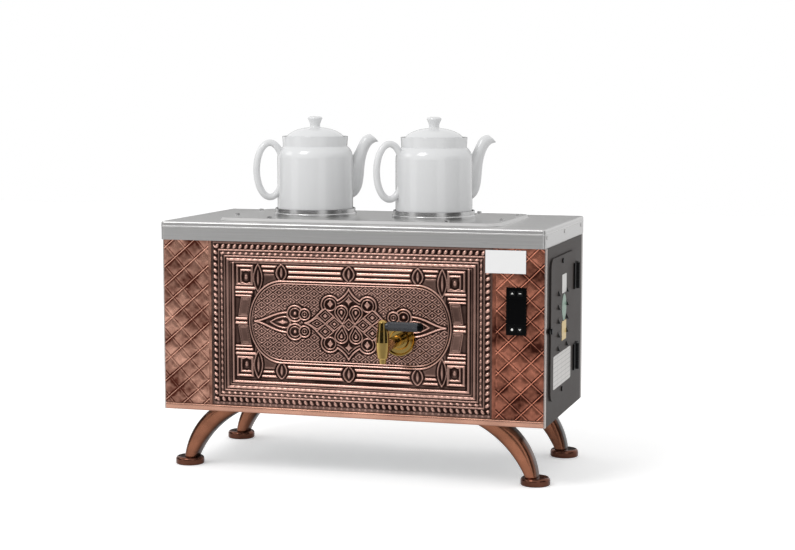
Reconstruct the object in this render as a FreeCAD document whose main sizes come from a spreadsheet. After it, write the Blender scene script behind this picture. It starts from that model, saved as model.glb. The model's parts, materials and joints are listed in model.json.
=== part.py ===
import FreeCAD, Part
import math
import os
import re
import Sketcher

# A counter-top tea urn. A folded steel casing stands on four bowed legs. Embossed copper sheets
# cover its front. A covered water tank hangs inside, with a lever tap through the front. Two
# porcelain teapots stand in chrome rings over the tank's steam. The right side has a hinged door.
# X runs to the right, Y to the back, Z up. Sizes are first measured from the middle of the
# casing's width, from the middle of the tray's depth and from the floor. Every sub-part's
# Placement then moves it so that the origin is under the middle of the whole urn.

V = FreeCAD.Vector
doc = FreeCAD.newDocument("tea_urn")

# Driving dimensions, in millimetres and degrees
SIZES = {
    # Casing sheets
    "body_width": 640, "front_reach": 159, "back_reach": 151, "casing_bottom": 100,
    "casing_height": 280, "casing_gauge": 1.2, "front_return": 6, "back_return": 20,
    "back_bend": 9, "panel_gap": 1, "top_ledge": 18, "bottom_ledge": 14, "ledge_inset": 6,
    "tab_reach": 5, "tab_inset": 3, "pan_gap": 0.4, "pan_side_gap": 1.6, "cut_spare": 5,
    # Copper front
    "copper_gauge": 1, "relief_height": 2, "strip_span": 88, "groove_width": 3,
    "edge_width": 2.5, "band_height": 11.4, "band_gauge": 1.4, "emboss_lift": 2.7,
    "bead_width": 9, "frame_margin": 3.8, "frame_step": 11, "frame_width": 6,
    "field_side": 62, "field_margin": 61.8, "field_lift": 4, "field_bow": 57, "field_rim": 5,
    "corner_side": 58, "corner_margin": 58.5, "corner_size": 22,
    "ridge_width": 2.4, "diamond_across": 36, "diamond_up": 34.5,
    "name_side": 31.6, "name_width": 64.4, "name_drop": 3, "name_height": 36, "name_gauge": 0.8,
    # Top tray and raised plate
    "tray_over_left": 2.6, "tray_short_right": 1.6, "tray_over_front": 3, "tray_over_back": 8,
    "tray_rise": 30, "tray_gauge": 1.5, "tray_corner": 5, "tray_edge": 3, "tray_hem": 12,
    "plate_side": 81, "plate_front_gap": 29, "plate_back_gap": 41, "plate_rise": 5,
    "plate_corner": 25, "plate_gauge": 1.2, "plate_rim": 8,
    "stud_radius": 2, "stud_gap": 0.2, "nut_radius": 4, "nut_rise": 3.2,
    "nut_end_inset": 12, "nut_row_inset": 13, "nut_spread": 150, "nut_side_front": 62,
    "nut_side_back": 52, "rivet_radius": 3, "rivet_head": 1,
    "rivet_drop": 13.5, "rivet_front_inset": 12, "rivet_back_inset": 27,
    # Teapots, their rings and lids
    "pot_spacing": 205.6, "pot_middle": -0.8, "pot_depth": 20, "ring_outer": 69,
    "ring_tier": 5.5, "ring_wall": 2, "ring_round": 1.5, "ring_rise": 12, "ring_ledge": 7.6,
    "ring_bore": 52, "steam_hole": 56, "left_pot_turn": 30, "right_pot_turn": 35,
    "pot_radius": 63, "pot_gap": 2, "pot_wall": 4, "pot_side": 89.4, "pot_side_bow": 2.2,
    "pot_shoulder": 107.4, "neck_radius": 53.5, "rim_radius": 54.6, "pot_height": 124,
    "pot_heel": 5, "gallery_depth": 3.4, "gallery_width": 4, "lid_gap": 0.8,
    "lid_radius": 47.5, "lid_edge": 3, "lid_crown": 18.5, "lid_bow": 4.5, "lid_skirt": 7,
    "lid_skirt_radius": 43, "lid_wall": 3.5, "knob_waist": 5.5, "knob_radius": 12.2,
    "knob_neck": 24.5, "knob_rise": 29.5, "knob_top": 35.8, "knob_bow": 3.2, "crown_flat": 0.5,
    "spout_wall": 4, "spout_cut": 2, "handle_thick": 11, "handle_stand": 13.5,
    "handle_half": 22.5, "handle_up": 68.5, "handle_rise": 45, "handle_root": 60,
    # Legs
    "leg_depth": 36, "leg_front_inset": 46, "leg_back_inset": 28, "leg_side": 74,
    "leg_top_width": 62, "foot_side": 19.5, "leg_ankle": 20,
    "leg_outer_bow": 11.8, "leg_inner_bow": 12.9, "leg_edge": 2, "foot_radius": 23.7,
    "foot_height": 13, "foot_shift": 5, "foot_chamfer": 1.5, "foot_round": 5,
    "bolt_radius": 4, "bolt_gap": 0.2, "bolt_depth": 14, "bolt_end_gap": 1, "bolt_inset": 23,
    "bolt_pitch": 20, "head_radius": 6.5, "head_rise": 5,
    # Water tank and its fittings
    "tank_side_gap": 25, "tank_divider_gap": 7, "tank_front_gap": 24, "tank_back_gap": 21,
    "tank_lift": 18, "tank_gauge": 1.2, "gasket_thick": 3.3, "skirt_gap": 1,
    "gasket_width": 9, "jacket_thick": 12, "jacket_gap": 0.5, "jacket_side": 5,
    "jacket_drop": 8, "jacket_clearance": 1, "electrics_width": 108, "divider_drop": 2,
    "divider_flange": 11, "element_depth": 0, "element_lift": 32, "element_shank": 16,
    "element_head": 22, "element_rod": 4.25, "element_spread": 14, "element_margin": 100,
    "element_flange": 5, "element_boss": 14, "element_thread": 12, "element_nut": 8,
    "element_pin": 10, "element_pin_spread": 6, "element_pin_radius": 2, "fit_gap": 0.2,
    "probe_radius": 3, "probe_depth": 60, "probe_lift": 92, "probe_reach": 60,
    "probe_tail": 20, "probe_gland": 12,
    "gland_side": 55, "gland_lift": 50, "gland_radius": 8, "gland_bore": 4,
    "gland_reach": 18, "gland_flange": 6, "drain_side": 120, "drain_lift": 12,
    "drain_radius": 9, "drain_wall": 2, "drain_stub": 3, "drain_cap": 13, "drain_cap_rise": 8,
    # Relay, limit thermostat and terminal block
    "relay_across": 28, "relay_deep": 40, "relay_height": 45, "relay_front": 70,
    "relay_drop": 45, "limit_radius": 12, "limit_depth": 16, "limit_back": 60,
    "limit_drop": 80, "terminal_gap": 24, "terminal_length": 60, "terminal_width": 22,
    "terminal_front": 62, "terminal_height": 18, "well_radius": 3, "well_pitch": 10,
    "well_depth": 10,
    # Controller
    "bezel_side": 30.5, "bezel_width": 31.8, "bezel_drop": 60.5, "bezel_height": 74.5,
    "bezel_thick": 4, "housing_step": 1.8, "housing_depth": 60, "cutout_gap": 0.3,
    "window_end": 17.7, "window_side": 3, "window_thick": 0.8, "window_sink": 0.2,
    "key_size": 8.5, "key_gap": 0.25, "key_stand": 0.8, "key_travel": 1,
    "key_end": 9, "key_side": 9.8,
    # Tap
    "tap_across": 85.2, "tap_lift": 131, "tap_stand": 95, "barrel_radius": 10.6,
    "barrel_rise": 25.5, "barrel_drop": 16.3, "barrel_taper": 2.4, "barrel_waist": 8,
    "barrel_shoulder": 1.4, "nozzle_radius": 6, "nozzle_length": 9, "nozzle_taper": 1,
    "plug_radius": 6.5, "plug_gap": 0.05, "plug_drop": 12, "way_radius": 4,
    "tube_radius": 9, "shank_radius": 8, "shank_tail": 4, "collar_radius": 14,
    "collar_thick": 5, "rosette_radius": 26, "rosette_gap": 0.3, "rosette_thick": 4,
    "rosette_edge": 1, "rosette_rim": 1.6, "rosette_dish": 1.4, "rosette_slope": 2.4,
    "hub_radius": 8.6, "hub_rise": 17.3, "hub_gap": 0.3, "hub_dome": 4, "lever_radius": 7,
    "lever_lift": 7.7, "lever_length": 63.8, "lever_cap": 6, "lever_ring": 0.3,
    "lever_collar": 3, "lever_step": 1, "lever_tip": 2.5, "lever_gap": 0.1,
    "spigot_start": 4, "spigot_length": 8, "spigot_gap": 0.05,
    "seal_thick": 2.5, "locknut_thick": 6, "locknut_radius": 15,
    # Door
    "door_front_gap": 24, "door_width": 196.5, "door_lift": 36, "door_height": 225.5,
    "door_corner": 17, "door_gauge": 1.5, "seal_gauge": 1.5, "seal_width": 7, "seal_inset": 0.5,
    "hinge_stand": 6, "hinge_shift": 4.5, "knuckle_radius": 3.9, "pin_radius": 1.5,
    "pin_gap": 0.05, "hinge_height": 43, "hinge_high_end": 43.7, "hinge_low_end": 46.5,
    "leaf_gauge": 2.6, "leaf_reach": 19, "knuckle_gap": 0.3, "leaf_gap": 0.6, "web_reach": 1,
    "louvre_width": 14, "louvre_height": 8, "louvre_stand": 4, "louvre_top": 0.4,
    "louvre_lift": 74.6, "louvre_pitch": 22.05, "louvre_front_gap": 63, "louvre_spacing": 68,
    "label_gauge": 0.3, "strip_gap": 86, "strip_width": 35, "strip_drop": 30.5,
    "white_height": 31, "green_height": 50, "yellow_height": 29, "label_gap": 1,
    "data_gap": 19, "data_width": 141, "data_lift": 17, "data_height": 53,
    "screw_radius": 4, "screw_rise": 2, "screw_gap": 89, "screw_end": 9,
    "latch_shift": 6, "latch_lift": 114, "latch_radius": 4.5,
    "latch_stand": 7, "tongue_length": 12, "tongue_width": 6, "tongue_gauge": 2,
    "tongue_gap": 0.6,
}

# Places that follow from the driving dimensions
PLACES = {
    "casing_top": "casing_bottom + casing_height",
    "panel_half": "body_width / 2 - strip_span",
    "emboss_middle": "(casing_bottom + band_height + casing_top) / 2 + emboss_lift",
    "frame_rise": "(casing_height - band_height) / 2 - frame_margin",
    "field_middle": "emboss_middle + field_lift",
    "field_half": "panel_half - field_side",
    "field_rise": "frame_rise - field_margin",
    "field_straight": "field_half - field_bow",
    "corner_across": "panel_half - corner_side",
    "corner_up": "frame_rise - corner_margin",
    "name_right": "body_width / 2 - name_side",
    "name_left": "name_right - name_width",
    "name_high": "casing_top - name_drop",
    "name_low": "name_high - name_height",
    "tray_left": "body_width / 2 + tray_over_left",
    "tray_right": "body_width / 2 - tray_short_right",
    "tray_front": "front_reach + tray_over_front",
    "tray_back": "back_reach + tray_over_back",
    "tray_top": "casing_top + tray_rise",
    "plate_half": "body_width / 2 - plate_side",
    "plate_front": "front_reach - plate_front_gap",
    "plate_back": "back_reach - plate_back_gap",
    "nut_side": "plate_half - nut_end_inset",
    "nut_front": "plate_front - nut_row_inset",
    "nut_back": "plate_back - nut_row_inset",
    "rivet_up": "tray_top - rivet_drop",
    "rivet_front": "tray_front - rivet_front_inset",
    "rivet_pitch": "(rivet_front + tray_back - rivet_back_inset) / 2",
    "handle_across": "pot_radius + handle_stand",
    "gallery_radius": "lid_radius + lid_gap",
    "mouth_radius": "gallery_radius - gallery_width",
    "leg_front": "front_reach - leg_front_inset",
    "leg_back": "back_reach - leg_back_inset",
    "leg_top_outer": "body_width / 2 - leg_side",
    "leg_top_inner": "leg_top_outer - leg_top_width",
    "leg_foot_outer": "body_width / 2 - foot_side",
    "leg_foot_inner": "leg_foot_outer - leg_ankle",
    "foot_across": "leg_foot_outer - foot_shift",
    "bolt_across": "leg_top_outer - bolt_inset",
    "divider_left": "body_width / 2 - electrics_width",
    "tank_left": "body_width / 2 - tank_side_gap",
    "tank_right": "divider_left - tank_divider_gap",
    "tank_front": "front_reach - tank_front_gap",
    "tank_back": "back_reach - tank_back_gap",
    "tank_bottom": "casing_bottom + tank_lift",
    "deck_top": "tray_top - tray_gauge - gasket_thick",
    "jacket_top": "casing_top - jacket_drop",
    "divider_top": "casing_top - divider_drop",
    "element_up": "tank_bottom + element_lift",
    "element_reach": "tank_left + tank_right - element_margin",
    "probe_up": "tank_bottom + probe_lift",
    "gland_across": "body_width / 2 - gland_side",
    "gland_up": "casing_bottom + gland_lift",
    "drain_across": "body_width / 2 - drain_side",
    "drain_up": "tank_bottom + drain_lift",
    "bezel_right": "body_width / 2 - bezel_side",
    "bezel_left": "bezel_right - bezel_width",
    "bezel_high": "casing_top - bezel_drop",
    "bezel_low": "bezel_high - bezel_height",
    "window_low": "bezel_low + window_end",
    "window_high": "bezel_high - window_end",
    "key_high": "bezel_high - key_end",
    "key_low": "bezel_low + key_end",
    "key_left": "bezel_left + key_side",
    "key_right": "bezel_right - key_side",
    "tap_up": "casing_bottom + tap_lift",
    "tap_reach": "front_reach + tap_stand",
    "barrel_top": "tap_up + barrel_rise",
    "barrel_low": "tap_up - barrel_drop",
    "nozzle_low": "barrel_low - nozzle_length",
    "plug_low": "tap_up - plug_drop",
    "hub_top": "barrel_top + hub_rise",
    "lever_up": "barrel_top + lever_lift",
    "grip_length": "lever_length - hub_radius",
    "door_front": "front_reach - door_front_gap",
    "door_back": "door_width - door_front",
    "door_low": "casing_bottom + door_lift",
    "door_high": "door_low + door_height",
    "hinge_across": "body_width / 2 + hinge_stand",
    "hinge_depth": "door_back + hinge_shift",
    "hinge_upper": "door_high - hinge_high_end",
    "hinge_lower": "door_low + hinge_low_end",
    "louvre_low": "door_low + louvre_lift",
    "louvre_front": "door_front - louvre_front_gap",
    "louvre_back": "louvre_front - louvre_spacing",
    "strip_front": "door_front - strip_gap",
    "strip_back": "strip_front - strip_width",
    "strip_high": "door_high - strip_drop",
    "strip_white": "strip_high - white_height",
    "strip_green": "strip_white - green_height",
    "strip_low": "strip_green - yellow_height",
    "data_front": "door_front - data_gap",
    "data_back": "data_width - data_front",
    "data_low": "door_low + data_lift",
    "data_high": "data_low + data_height",
    "screw_depth": "door_front - screw_gap",
    "screw_high": "door_high - screw_end",
    "screw_low": "door_low + screw_end",
    "latch_depth": "door_front + latch_shift",
    "latch_up": "door_low + latch_lift",
}

sizes = doc.addObject("Spreadsheet::Sheet", "Sizes")
for row, (alias, value) in enumerate(SIZES.items(), start=1):
    sizes.set("A%d" % row, alias)
    sizes.set("B%d" % row, str(value))
    sizes.setAlias("B%d" % row, alias)
doc.recompute()

places = {}
pieces = {}


def formula(text):
    """Expression with every size pointed at the sheet and every place worked out from sizes."""
    def stands_for(word):
        name = word.group()
        if name in PLACES:
            return "(" + formula(PLACES[name]) + ")"
        return "Sizes." + name if name in SIZES else name
    return re.sub(r"[a-z_]+", stands_for, str(text))


def number(text):
    return float(sizes.evalExpression(formula(text)))


def bind(item, setting, text):
    item.setExpression(setting, formula(text))


def place(item, x, y, z, turn=None):
    """Placement at three expressions, after an optional constant turn (axis, degrees)."""
    places[item.Name] = (x, y, z)
    if turn:
        item.Placement = FreeCAD.Placement(V(0, 0, 0), FreeCAD.Rotation(*turn))
    for axis, text in zip("xyz", (x, y, z)):
        bind(item, "Placement.Base." + axis, text)
    return item


# How far the urn reaches, which sets the move to its middle
REACH_LEFT = "(tray_left + rivet_head)"
REACH_RIGHT = "(hinge_across + knuckle_radius)"
REACH_FRONT = "(tap_reach + barrel_radius)"
REACH_BACK = "(back_reach + gland_reach)"
MOVE_X = "((%s - %s) / 2)" % (REACH_LEFT, REACH_RIGHT)
MOVE_Y = "((%s - %s) / 2)" % (REACH_FRONT, REACH_BACK)


def piece(item, label):
    """Names a finished sub-part and moves it into the urn's own frame."""
    x, y, z = places.get(item.Name, ("0", "0", "0"))
    place(item, "%s + %s" % (x, MOVE_X), "%s + %s" % (y, MOVE_Y), z)
    item.Label = label
    pieces[label] = item
    return item


# Primitive solids


def block(name, west, east, front, back, low, high):
    """Box between six limits."""
    box = doc.addObject("Part::Box", name)
    bind(box, "Length", "(%s) - (%s)" % (east, west))
    bind(box, "Width", "(%s) - (%s)" % (back, front))
    bind(box, "Height", "(%s) - (%s)" % (high, low))
    return place(box, west, front, low)


TURNS = {"x": (V(0, 1, 0), 90), "y": (V(1, 0, 0), -90), "z": None}


def rod(name, axis, start, length, radius):
    """Cylinder that runs from start along +axis."""
    cylinder = doc.addObject("Part::Cylinder", name)
    bind(cylinder, "Radius", radius)
    bind(cylinder, "Height", length)
    return place(cylinder, *start, turn=TURNS[axis])


def hexagon(name, axis, start, length, radius):
    """Hexagonal bar by its corner radius."""
    prism = doc.addObject("Part::Prism", name)
    prism.Polygon = 6
    bind(prism, "Circumradius", radius)
    bind(prism, "Height", length)
    return place(prism, *start, turn=TURNS[axis])


def union(name, items):
    fused = doc.addObject("Part::MultiFuse", name)
    fused.Shapes = items
    fused.Refine = True
    return fused


def group(name, items):
    """Separate solids kept together."""
    compound = doc.addObject("Part::Compound", name)
    compound.Links = items
    return compound


def cut(name, base, tools):
    if len(tools) > 1:
        tool = doc.addObject("Part::MultiFuse", name + "_tools")
        tool.Shapes = tools
    else:
        tool = tools[0]
    result = doc.addObject("Part::Cut", name)
    result.Base = base
    result.Tool = tool
    result.Refine = True
    return result


def common(name, first, second):
    result = doc.addObject("Part::Common", name)
    result.Base = first
    result.Tool = second
    return result


# Sketched solids

QUARTER = "(1 - sqrt(0.5))"


def new_body(name):
    return doc.addObject("PartDesign::Body", name)


def new_sketch(body, plane, name):
    sketch = body.newObject("Sketcher::SketchObject", name)
    origin_plane = [item for item in body.Origin.OriginFeatures if item.Role == plane][0]
    sketch.AttachmentSupport = (origin_plane, "")
    sketch.MapMode = "FlatFace"
    return sketch


def pin_point(sketch, edge, end, across, up):
    """Holds one end of an edge at two expressions from the sketch's origin."""
    for kind, text in (("DistanceX", across), ("DistanceY", up)):
        constraint = Sketcher.Constraint(kind, -1, 1, edge, end, number(text))
        place_in_list = sketch.addConstraint(constraint)
        sketch.setExpression("Constraints[%d]" % place_in_list, formula(text))


def outline(sketch, points):
    """Closed outline. A point is (across, up), or (across, up, bow) where the stretch to the next
    point is an arc that bows out by that much to the left of its direction."""
    spots = [V(number(point[0]), number(point[1]), 0) for point in points]
    edges = []
    for index, point in enumerate(points):
        here, there = spots[index], spots[(index + 1) % len(points)]
        if len(point) == 2:
            edge = sketch.addGeometry(Part.LineSegment(here, there))
            backwards = False
        else:
            bow = number(point[2])
            along = there - here
            side = V(-along.y, along.x, 0).normalize()
            middle = (here + there) * 0.5 + side * bow
            backwards = bow > 0
            ends = (there, middle, here) if backwards else (here, middle, there)
            edge = sketch.addGeometry(Part.Arc(*ends))
        edges.append((edge, backwards))
    for index, (edge, backwards) in enumerate(edges):
        pin_point(sketch, edge, 2 if backwards else 1, points[index][0], points[index][1])
        following, next_backwards = edges[(index + 1) % len(edges)]
        sketch.addConstraint(Sketcher.Constraint("Coincident", edge, 1 if backwards else 2,
                                                 following, 2 if next_backwards else 1))
        if len(points[index]) == 3:
            after = points[(index + 1) % len(points)]
            chord = "(((%s) - (%s))^2 + ((%s) - (%s))^2)" % (after[0], points[index][0],
                                                            after[1], points[index][1])
            radius = "(%s / 4 + (%s)^2) / (2 * abs(%s))" % (chord, points[index][2],
                                                           points[index][2])
            held = sketch.addConstraint(Sketcher.Constraint("Radius", edge, number(radius)))
            sketch.setExpression("Constraints[%d]" % held, formula(radius))


def disc(sketch, across, up, radius):
    """Circle held by its middle and radius."""
    centre = V(number(across), number(up), 0)
    edge = sketch.addGeometry(Part.Circle(centre, V(0, 0, 1), number(radius)))
    pin_point(sketch, edge, 3, across, up)
    held = sketch.addConstraint(Sketcher.Constraint("Radius", edge, number(radius)))
    sketch.setExpression("Constraints[%d]" % held, formula(radius))


def rectangle(sketch, west, east, low, high):
    outline(sketch, [(west, low), (east, low), (east, high), (west, high)])


def rounded_rectangle(sketch, west, east, low, high, radius):
    """Rectangle with quarter-round corners."""
    bow = "-(%s) * %s" % (radius, QUARTER)
    outline(sketch, [
        ("(%s) + (%s)" % (west, radius), low),
        ("(%s) - (%s)" % (east, radius), low, bow),
        (east, "(%s) + (%s)" % (low, radius)),
        (east, "(%s) - (%s)" % (high, radius), bow),
        ("(%s) - (%s)" % (east, radius), high),
        ("(%s) + (%s)" % (west, radius), high, bow),
        (west, "(%s) - (%s)" % (high, radius)),
        (west, "(%s) + (%s)" % (low, radius), bow)])


def pad(body, sketch, length, midplane=False):
    feature = body.newObject("PartDesign::Pad", sketch.Name + "_pad")
    feature.Profile = sketch
    bind(feature, "Length", length)
    feature.Midplane = midplane
    sketch.Visibility = False
    return feature


def pocket(body, sketch, depth, along_normal=True):
    """Cut from the sketch's plane, by default towards the sketch's own normal."""
    feature = body.newObject("PartDesign::Pocket", sketch.Name + "_pocket")
    feature.Profile = sketch
    bind(feature, "Length", depth)
    feature.Reversed = along_normal
    doc.recompute()
    if not feature.Shape.Volume < feature.BaseFeature.Shape.Volume:
        raise ValueError(sketch.Name + " cuts nothing")
    return feature


def turned(name, points):
    """Body turned about Z from a closed half outline of (radius, height) points."""
    body = new_body(name)
    sketch = new_sketch(body, "XZ_Plane", name + "_half")
    outline(sketch, points)
    feature = body.newObject("PartDesign::Revolution", name + "_turn")
    feature.Profile = sketch
    feature.ReferenceAxis = (sketch, ["V_Axis"])
    feature.Angle = 360
    return body


def edges_where(shape, test):
    """Names of the edges whose every end passes a test."""
    return ["Edge%d" % (index + 1) for index, edge in enumerate(shape.Edges)
            if all(test(vertex.Point) for vertex in edge.Vertexes)]


def fillet(body, base, edges, radius):
    feature = body.newObject("PartDesign::Fillet", base.Name + "_round")
    feature.Base = (base, edges)
    bind(feature, "Radius", radius)
    return feature


# Places that several sub-parts share
HALF = "body_width / 2"
INNER_HALF = "(body_width / 2 - casing_gauge)"
FRONT = "-front_reach"
FRONT_INNER = "(casing_gauge - front_reach)"
BACK_INNER = "(back_reach - casing_gauge)"
LEDGE_HALF = "(body_width / 2 - ledge_inset)"
PAN_TOP = "(casing_bottom + 2 * casing_gauge)"
COPPER_FACE = "(-front_reach - copper_gauge)"
RELIEF_FACE = "(-front_reach - copper_gauge - relief_height)"
BAND_TOP = "(casing_bottom + band_height)"
PLATE_TOP = "(tray_top + plate_rise)"
POT_SEAT = "(tray_top + plate_rise + ring_ledge)"
SIDES = {"left": -1, "right": 1}


def controller_cutout(name):
    """Opening for the controller's housing through the front sheets."""
    return block(name, "bezel_left + housing_step - cutout_gap",
                 "bezel_right - housing_step + cutout_gap", RELIEF_FACE,
                 "cut_spare - front_reach",
                 "bezel_low + housing_step - cutout_gap", "bezel_high - housing_step + cutout_gap")


def tap_hole(name, radius, start, length):
    """Cylinder on the tap's own axis."""
    return rod(name, "y", ("tap_across", start, "tap_up"), length, radius)


# Casing: a front frame, two side panels, a back panel bent round its corners, and a base pan


def make_front_frame():
    sheet = block("front_sheet", "-(%s)" % HALF, HALF, FRONT, FRONT_INNER, "casing_bottom",
                  "casing_top")
    folds = [sheet]
    for side, sign in SIDES.items():
        outer, inner = "%d * %s" % (sign, HALF), "%d * %s" % (sign, INNER_HALF)
        west, east = (outer, inner) if sign < 0 else (inner, outer)
        folds.append(block("front_fold_" + side, west, east, FRONT, "front_return - front_reach",
                           "casing_bottom", "casing_top"))
    folds.append(block("front_top_fold", "-%s" % LEDGE_HALF, LEDGE_HALF, FRONT,
                       "top_ledge - front_reach", "casing_top - casing_gauge", "casing_top"))
    folds.append(block("front_low_fold", "-%s" % LEDGE_HALF, LEDGE_HALF, FRONT,
                       "bottom_ledge - front_reach", "casing_bottom",
                       "casing_bottom + casing_gauge"))
    openings = [controller_cutout("frame_controller_cutout"),
                tap_hole("frame_tap_hole", "collar_radius", "-front_reach - cut_spare",
                         "2 * cut_spare")]
    piece(cut("front_frame_cut", union("front_folds", folds), openings), "front_frame")


def make_side_panel(side):
    sign = SIDES[side]

    def sheet(name, inset, thick, front, back, low, high):
        outer = "%d * (%s - (%s))" % (sign, HALF, inset)
        inner = "%d * (%s - (%s) - (%s))" % (sign, HALF, inset, thick)
        west, east = (outer, inner) if sign < 0 else (inner, outer)
        return block(side + name, west, east, front, back, low, high)

    front = "(front_return + panel_gap - front_reach)"
    back = "(back_reach - back_return - panel_gap)"
    folds = [
        sheet("_sheet", "0", "casing_gauge", front, back, "casing_bottom", "casing_top"),
        sheet("_top_fold", "0", "top_ledge", "top_ledge - front_reach + panel_gap",
              "%s - panel_gap" % back, "casing_top - casing_gauge", "casing_top"),
        sheet("_low_fold", "0", "bottom_ledge", "bottom_ledge - front_reach + panel_gap",
              "%s - panel_gap" % back, "casing_bottom", "casing_bottom + casing_gauge"),
        sheet("_front_tab", "casing_gauge", "casing_gauge", "%s - tab_reach" % front,
              "%s + tab_reach" % front, "casing_bottom + tab_inset", "casing_top - tab_inset"),
        sheet("_back_tab", "casing_gauge", "casing_gauge", "%s - tab_reach" % back,
              "%s + tab_reach" % back, "casing_bottom + tab_inset", "casing_top - tab_inset")]
    panel = union(side + "_panel_folds", folds)
    if side == "left":
        return piece(panel, "left_side_panel")
    body = new_body("door_opening")
    sketch = new_sketch(body, "YZ_Plane", "door_opening_outline")
    rounded_rectangle(sketch, "-door_front + seal_width", "door_back - seal_width",
                      "door_low + seal_width", "door_high - seal_width", "door_corner - seal_width")
    pad(body, sketch, "3 * casing_gauge", midplane=True)
    place(body, HALF, "0", "0")
    return piece(cut("right_panel_cut", panel, [body]), "right_side_panel")


def make_back_panel():
    body = new_body("back_sheet")
    sketch = new_sketch(body, "XY_Plane", "back_outline")
    straight = "(%s - back_bend)" % HALF
    start = "(back_reach - back_return)"
    bend = "(back_reach - back_bend)"
    outer_bow = "-back_bend * %s" % QUARTER
    inner_bow = "(back_bend - casing_gauge) * %s" % QUARTER
    outline(sketch, [
        (HALF, start), (HALF, bend, outer_bow), (straight, "back_reach"),
        ("-" + straight, "back_reach", outer_bow), ("-(%s)" % HALF, bend), ("-(%s)" % HALF, start),
        ("-" + INNER_HALF, start), ("-" + INNER_HALF, bend, inner_bow),
        ("-" + straight, BACK_INNER), (straight, BACK_INNER, inner_bow), (INNER_HALF, bend),
        (INNER_HALF, start)])
    pad(body, sketch, "casing_top - casing_bottom")
    place(body, "0", "0", "casing_bottom")
    folds = [body]
    for name, low, ledge, half in (
            ("back_top_fold", "casing_top - casing_gauge", "top_ledge", straight),
            ("back_low_fold", "casing_bottom", "bottom_ledge", "leg_top_inner - 2 * panel_gap")):
        folds.append(block(name, "-(%s)" % half, half, "back_reach - " + ledge, BACK_INNER, low,
                           low + " + casing_gauge"))
    openings = [rod("gland_hole", "y", ("gland_across", "back_reach - cut_spare", "gland_up"),
                    "2 * cut_spare", "gland_radius + fit_gap"),
                rod("back_drain_hole", "y", ("-drain_across", "back_reach - cut_spare", "drain_up"),
                    "2 * cut_spare", "drain_radius + 2 * fit_gap")]
    piece(cut("back_panel_cut", union("back_folds", folds), openings), "back_panel")


def bolt_places():
    """Two bolts for each leg."""
    for side, sign in SIDES.items():
        for end, depth in (("front", "-leg_front"), ("back", "leg_back")):
            for row in (-1, 1):
                yield (side + "_" + end + ("_a" if row < 0 else "_b"), "%d * bolt_across" % sign,
                       "(%s) + %d * bolt_pitch / 2" % (depth, row))


def make_base_pan():
    pan = block("pan_sheet", "-(%s - pan_side_gap)" % INNER_HALF, "%s - pan_side_gap" % INNER_HALF,
                "%s + pan_gap" % FRONT_INNER, "back_reach - back_bend - pan_gap",
                "casing_bottom + casing_gauge", PAN_TOP)
    holes = [rod("pan_hole_" + name, "z", (across, depth, "casing_bottom"),
                 "2 * casing_gauge + cut_spare", "bolt_radius + bolt_gap")
             for name, across, depth in bolt_places()]
    piece(cut("pan_cut", pan, holes), "base_pan")


def make_legs():
    """Four bowed legs, each cut from one side profile."""
    for side, sign in SIDES.items():
        for end, depth in (("front", "-leg_front"), ("back", "leg_back")):
            name = "%s_%s_leg" % (end, side)
            body = new_body(name + "_body")
            sketch = new_sketch(body, "XZ_Plane", name + "_outline")
            top = "(casing_bottom + casing_gauge)"
            outline(sketch, [
                ("%d * leg_top_inner" % sign, top),
                ("%d * leg_top_outer" % sign, top, "%d * leg_outer_bow" % sign),
                ("%d * leg_foot_outer" % sign, "foot_height"),
                ("%d * leg_foot_inner" % sign, "foot_height", "%d * leg_inner_bow" % -sign)])
            profile = pad(body, sketch, "leg_depth", midplane=True)
            doc.recompute()
            bowed = ["Edge%d" % count for count, edge in enumerate(profile.Shape.Edges, start=1)
                     if edge.Curve.TypeId == "Part::GeomCircle"]
            fillet(body, profile, bowed, "leg_edge")
            place(body, "0", depth, "0")
            holes = [rod(name + "_hole_" + spot, "z", (across, bolt_back, "%s - bolt_depth" % top),
                         "bolt_depth + cut_spare", "bolt_radius + bolt_gap")
                     for spot, across, bolt_back in bolt_places()
                     if spot.startswith("%s_%s" % (side, end))]
            piece(cut(name + "_cut", body, holes), name)


def make_foot_discs():
    feet = []
    for side, sign in SIDES.items():
        for end, depth in (("front", "-leg_front"), ("back", "leg_back")):
            foot = turned("foot_%s_%s" % (end, side), [
                ("0", "0"), ("foot_radius - foot_chamfer", "0"), ("foot_radius", "foot_chamfer"),
                ("foot_radius", "foot_height - foot_round", "-foot_round * %s" % QUARTER),
                ("foot_radius - foot_round", "foot_height"), ("0", "foot_height")])
            feet.append(place(foot, "%d * foot_across" % sign, depth, "0"))
    piece(group("foot_group", feet), "foot_discs")


def make_leg_bolts():
    bolts = []
    for name, across, depth in bolt_places():
        head = hexagon("bolt_head_" + name, "z", (across, depth, PAN_TOP), "head_rise",
                       "head_radius")
        shank = rod("bolt_shank_" + name, "z",
                    (across, depth, "casing_bottom + casing_gauge - bolt_depth + bolt_end_gap"),
                    "bolt_depth + casing_gauge - bolt_end_gap", "bolt_radius")
        bolts.append(union("bolt_" + name, [head, shank]))
    piece(group("bolt_group", bolts), "leg_bolts")


# Copper sheets of the front


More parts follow.
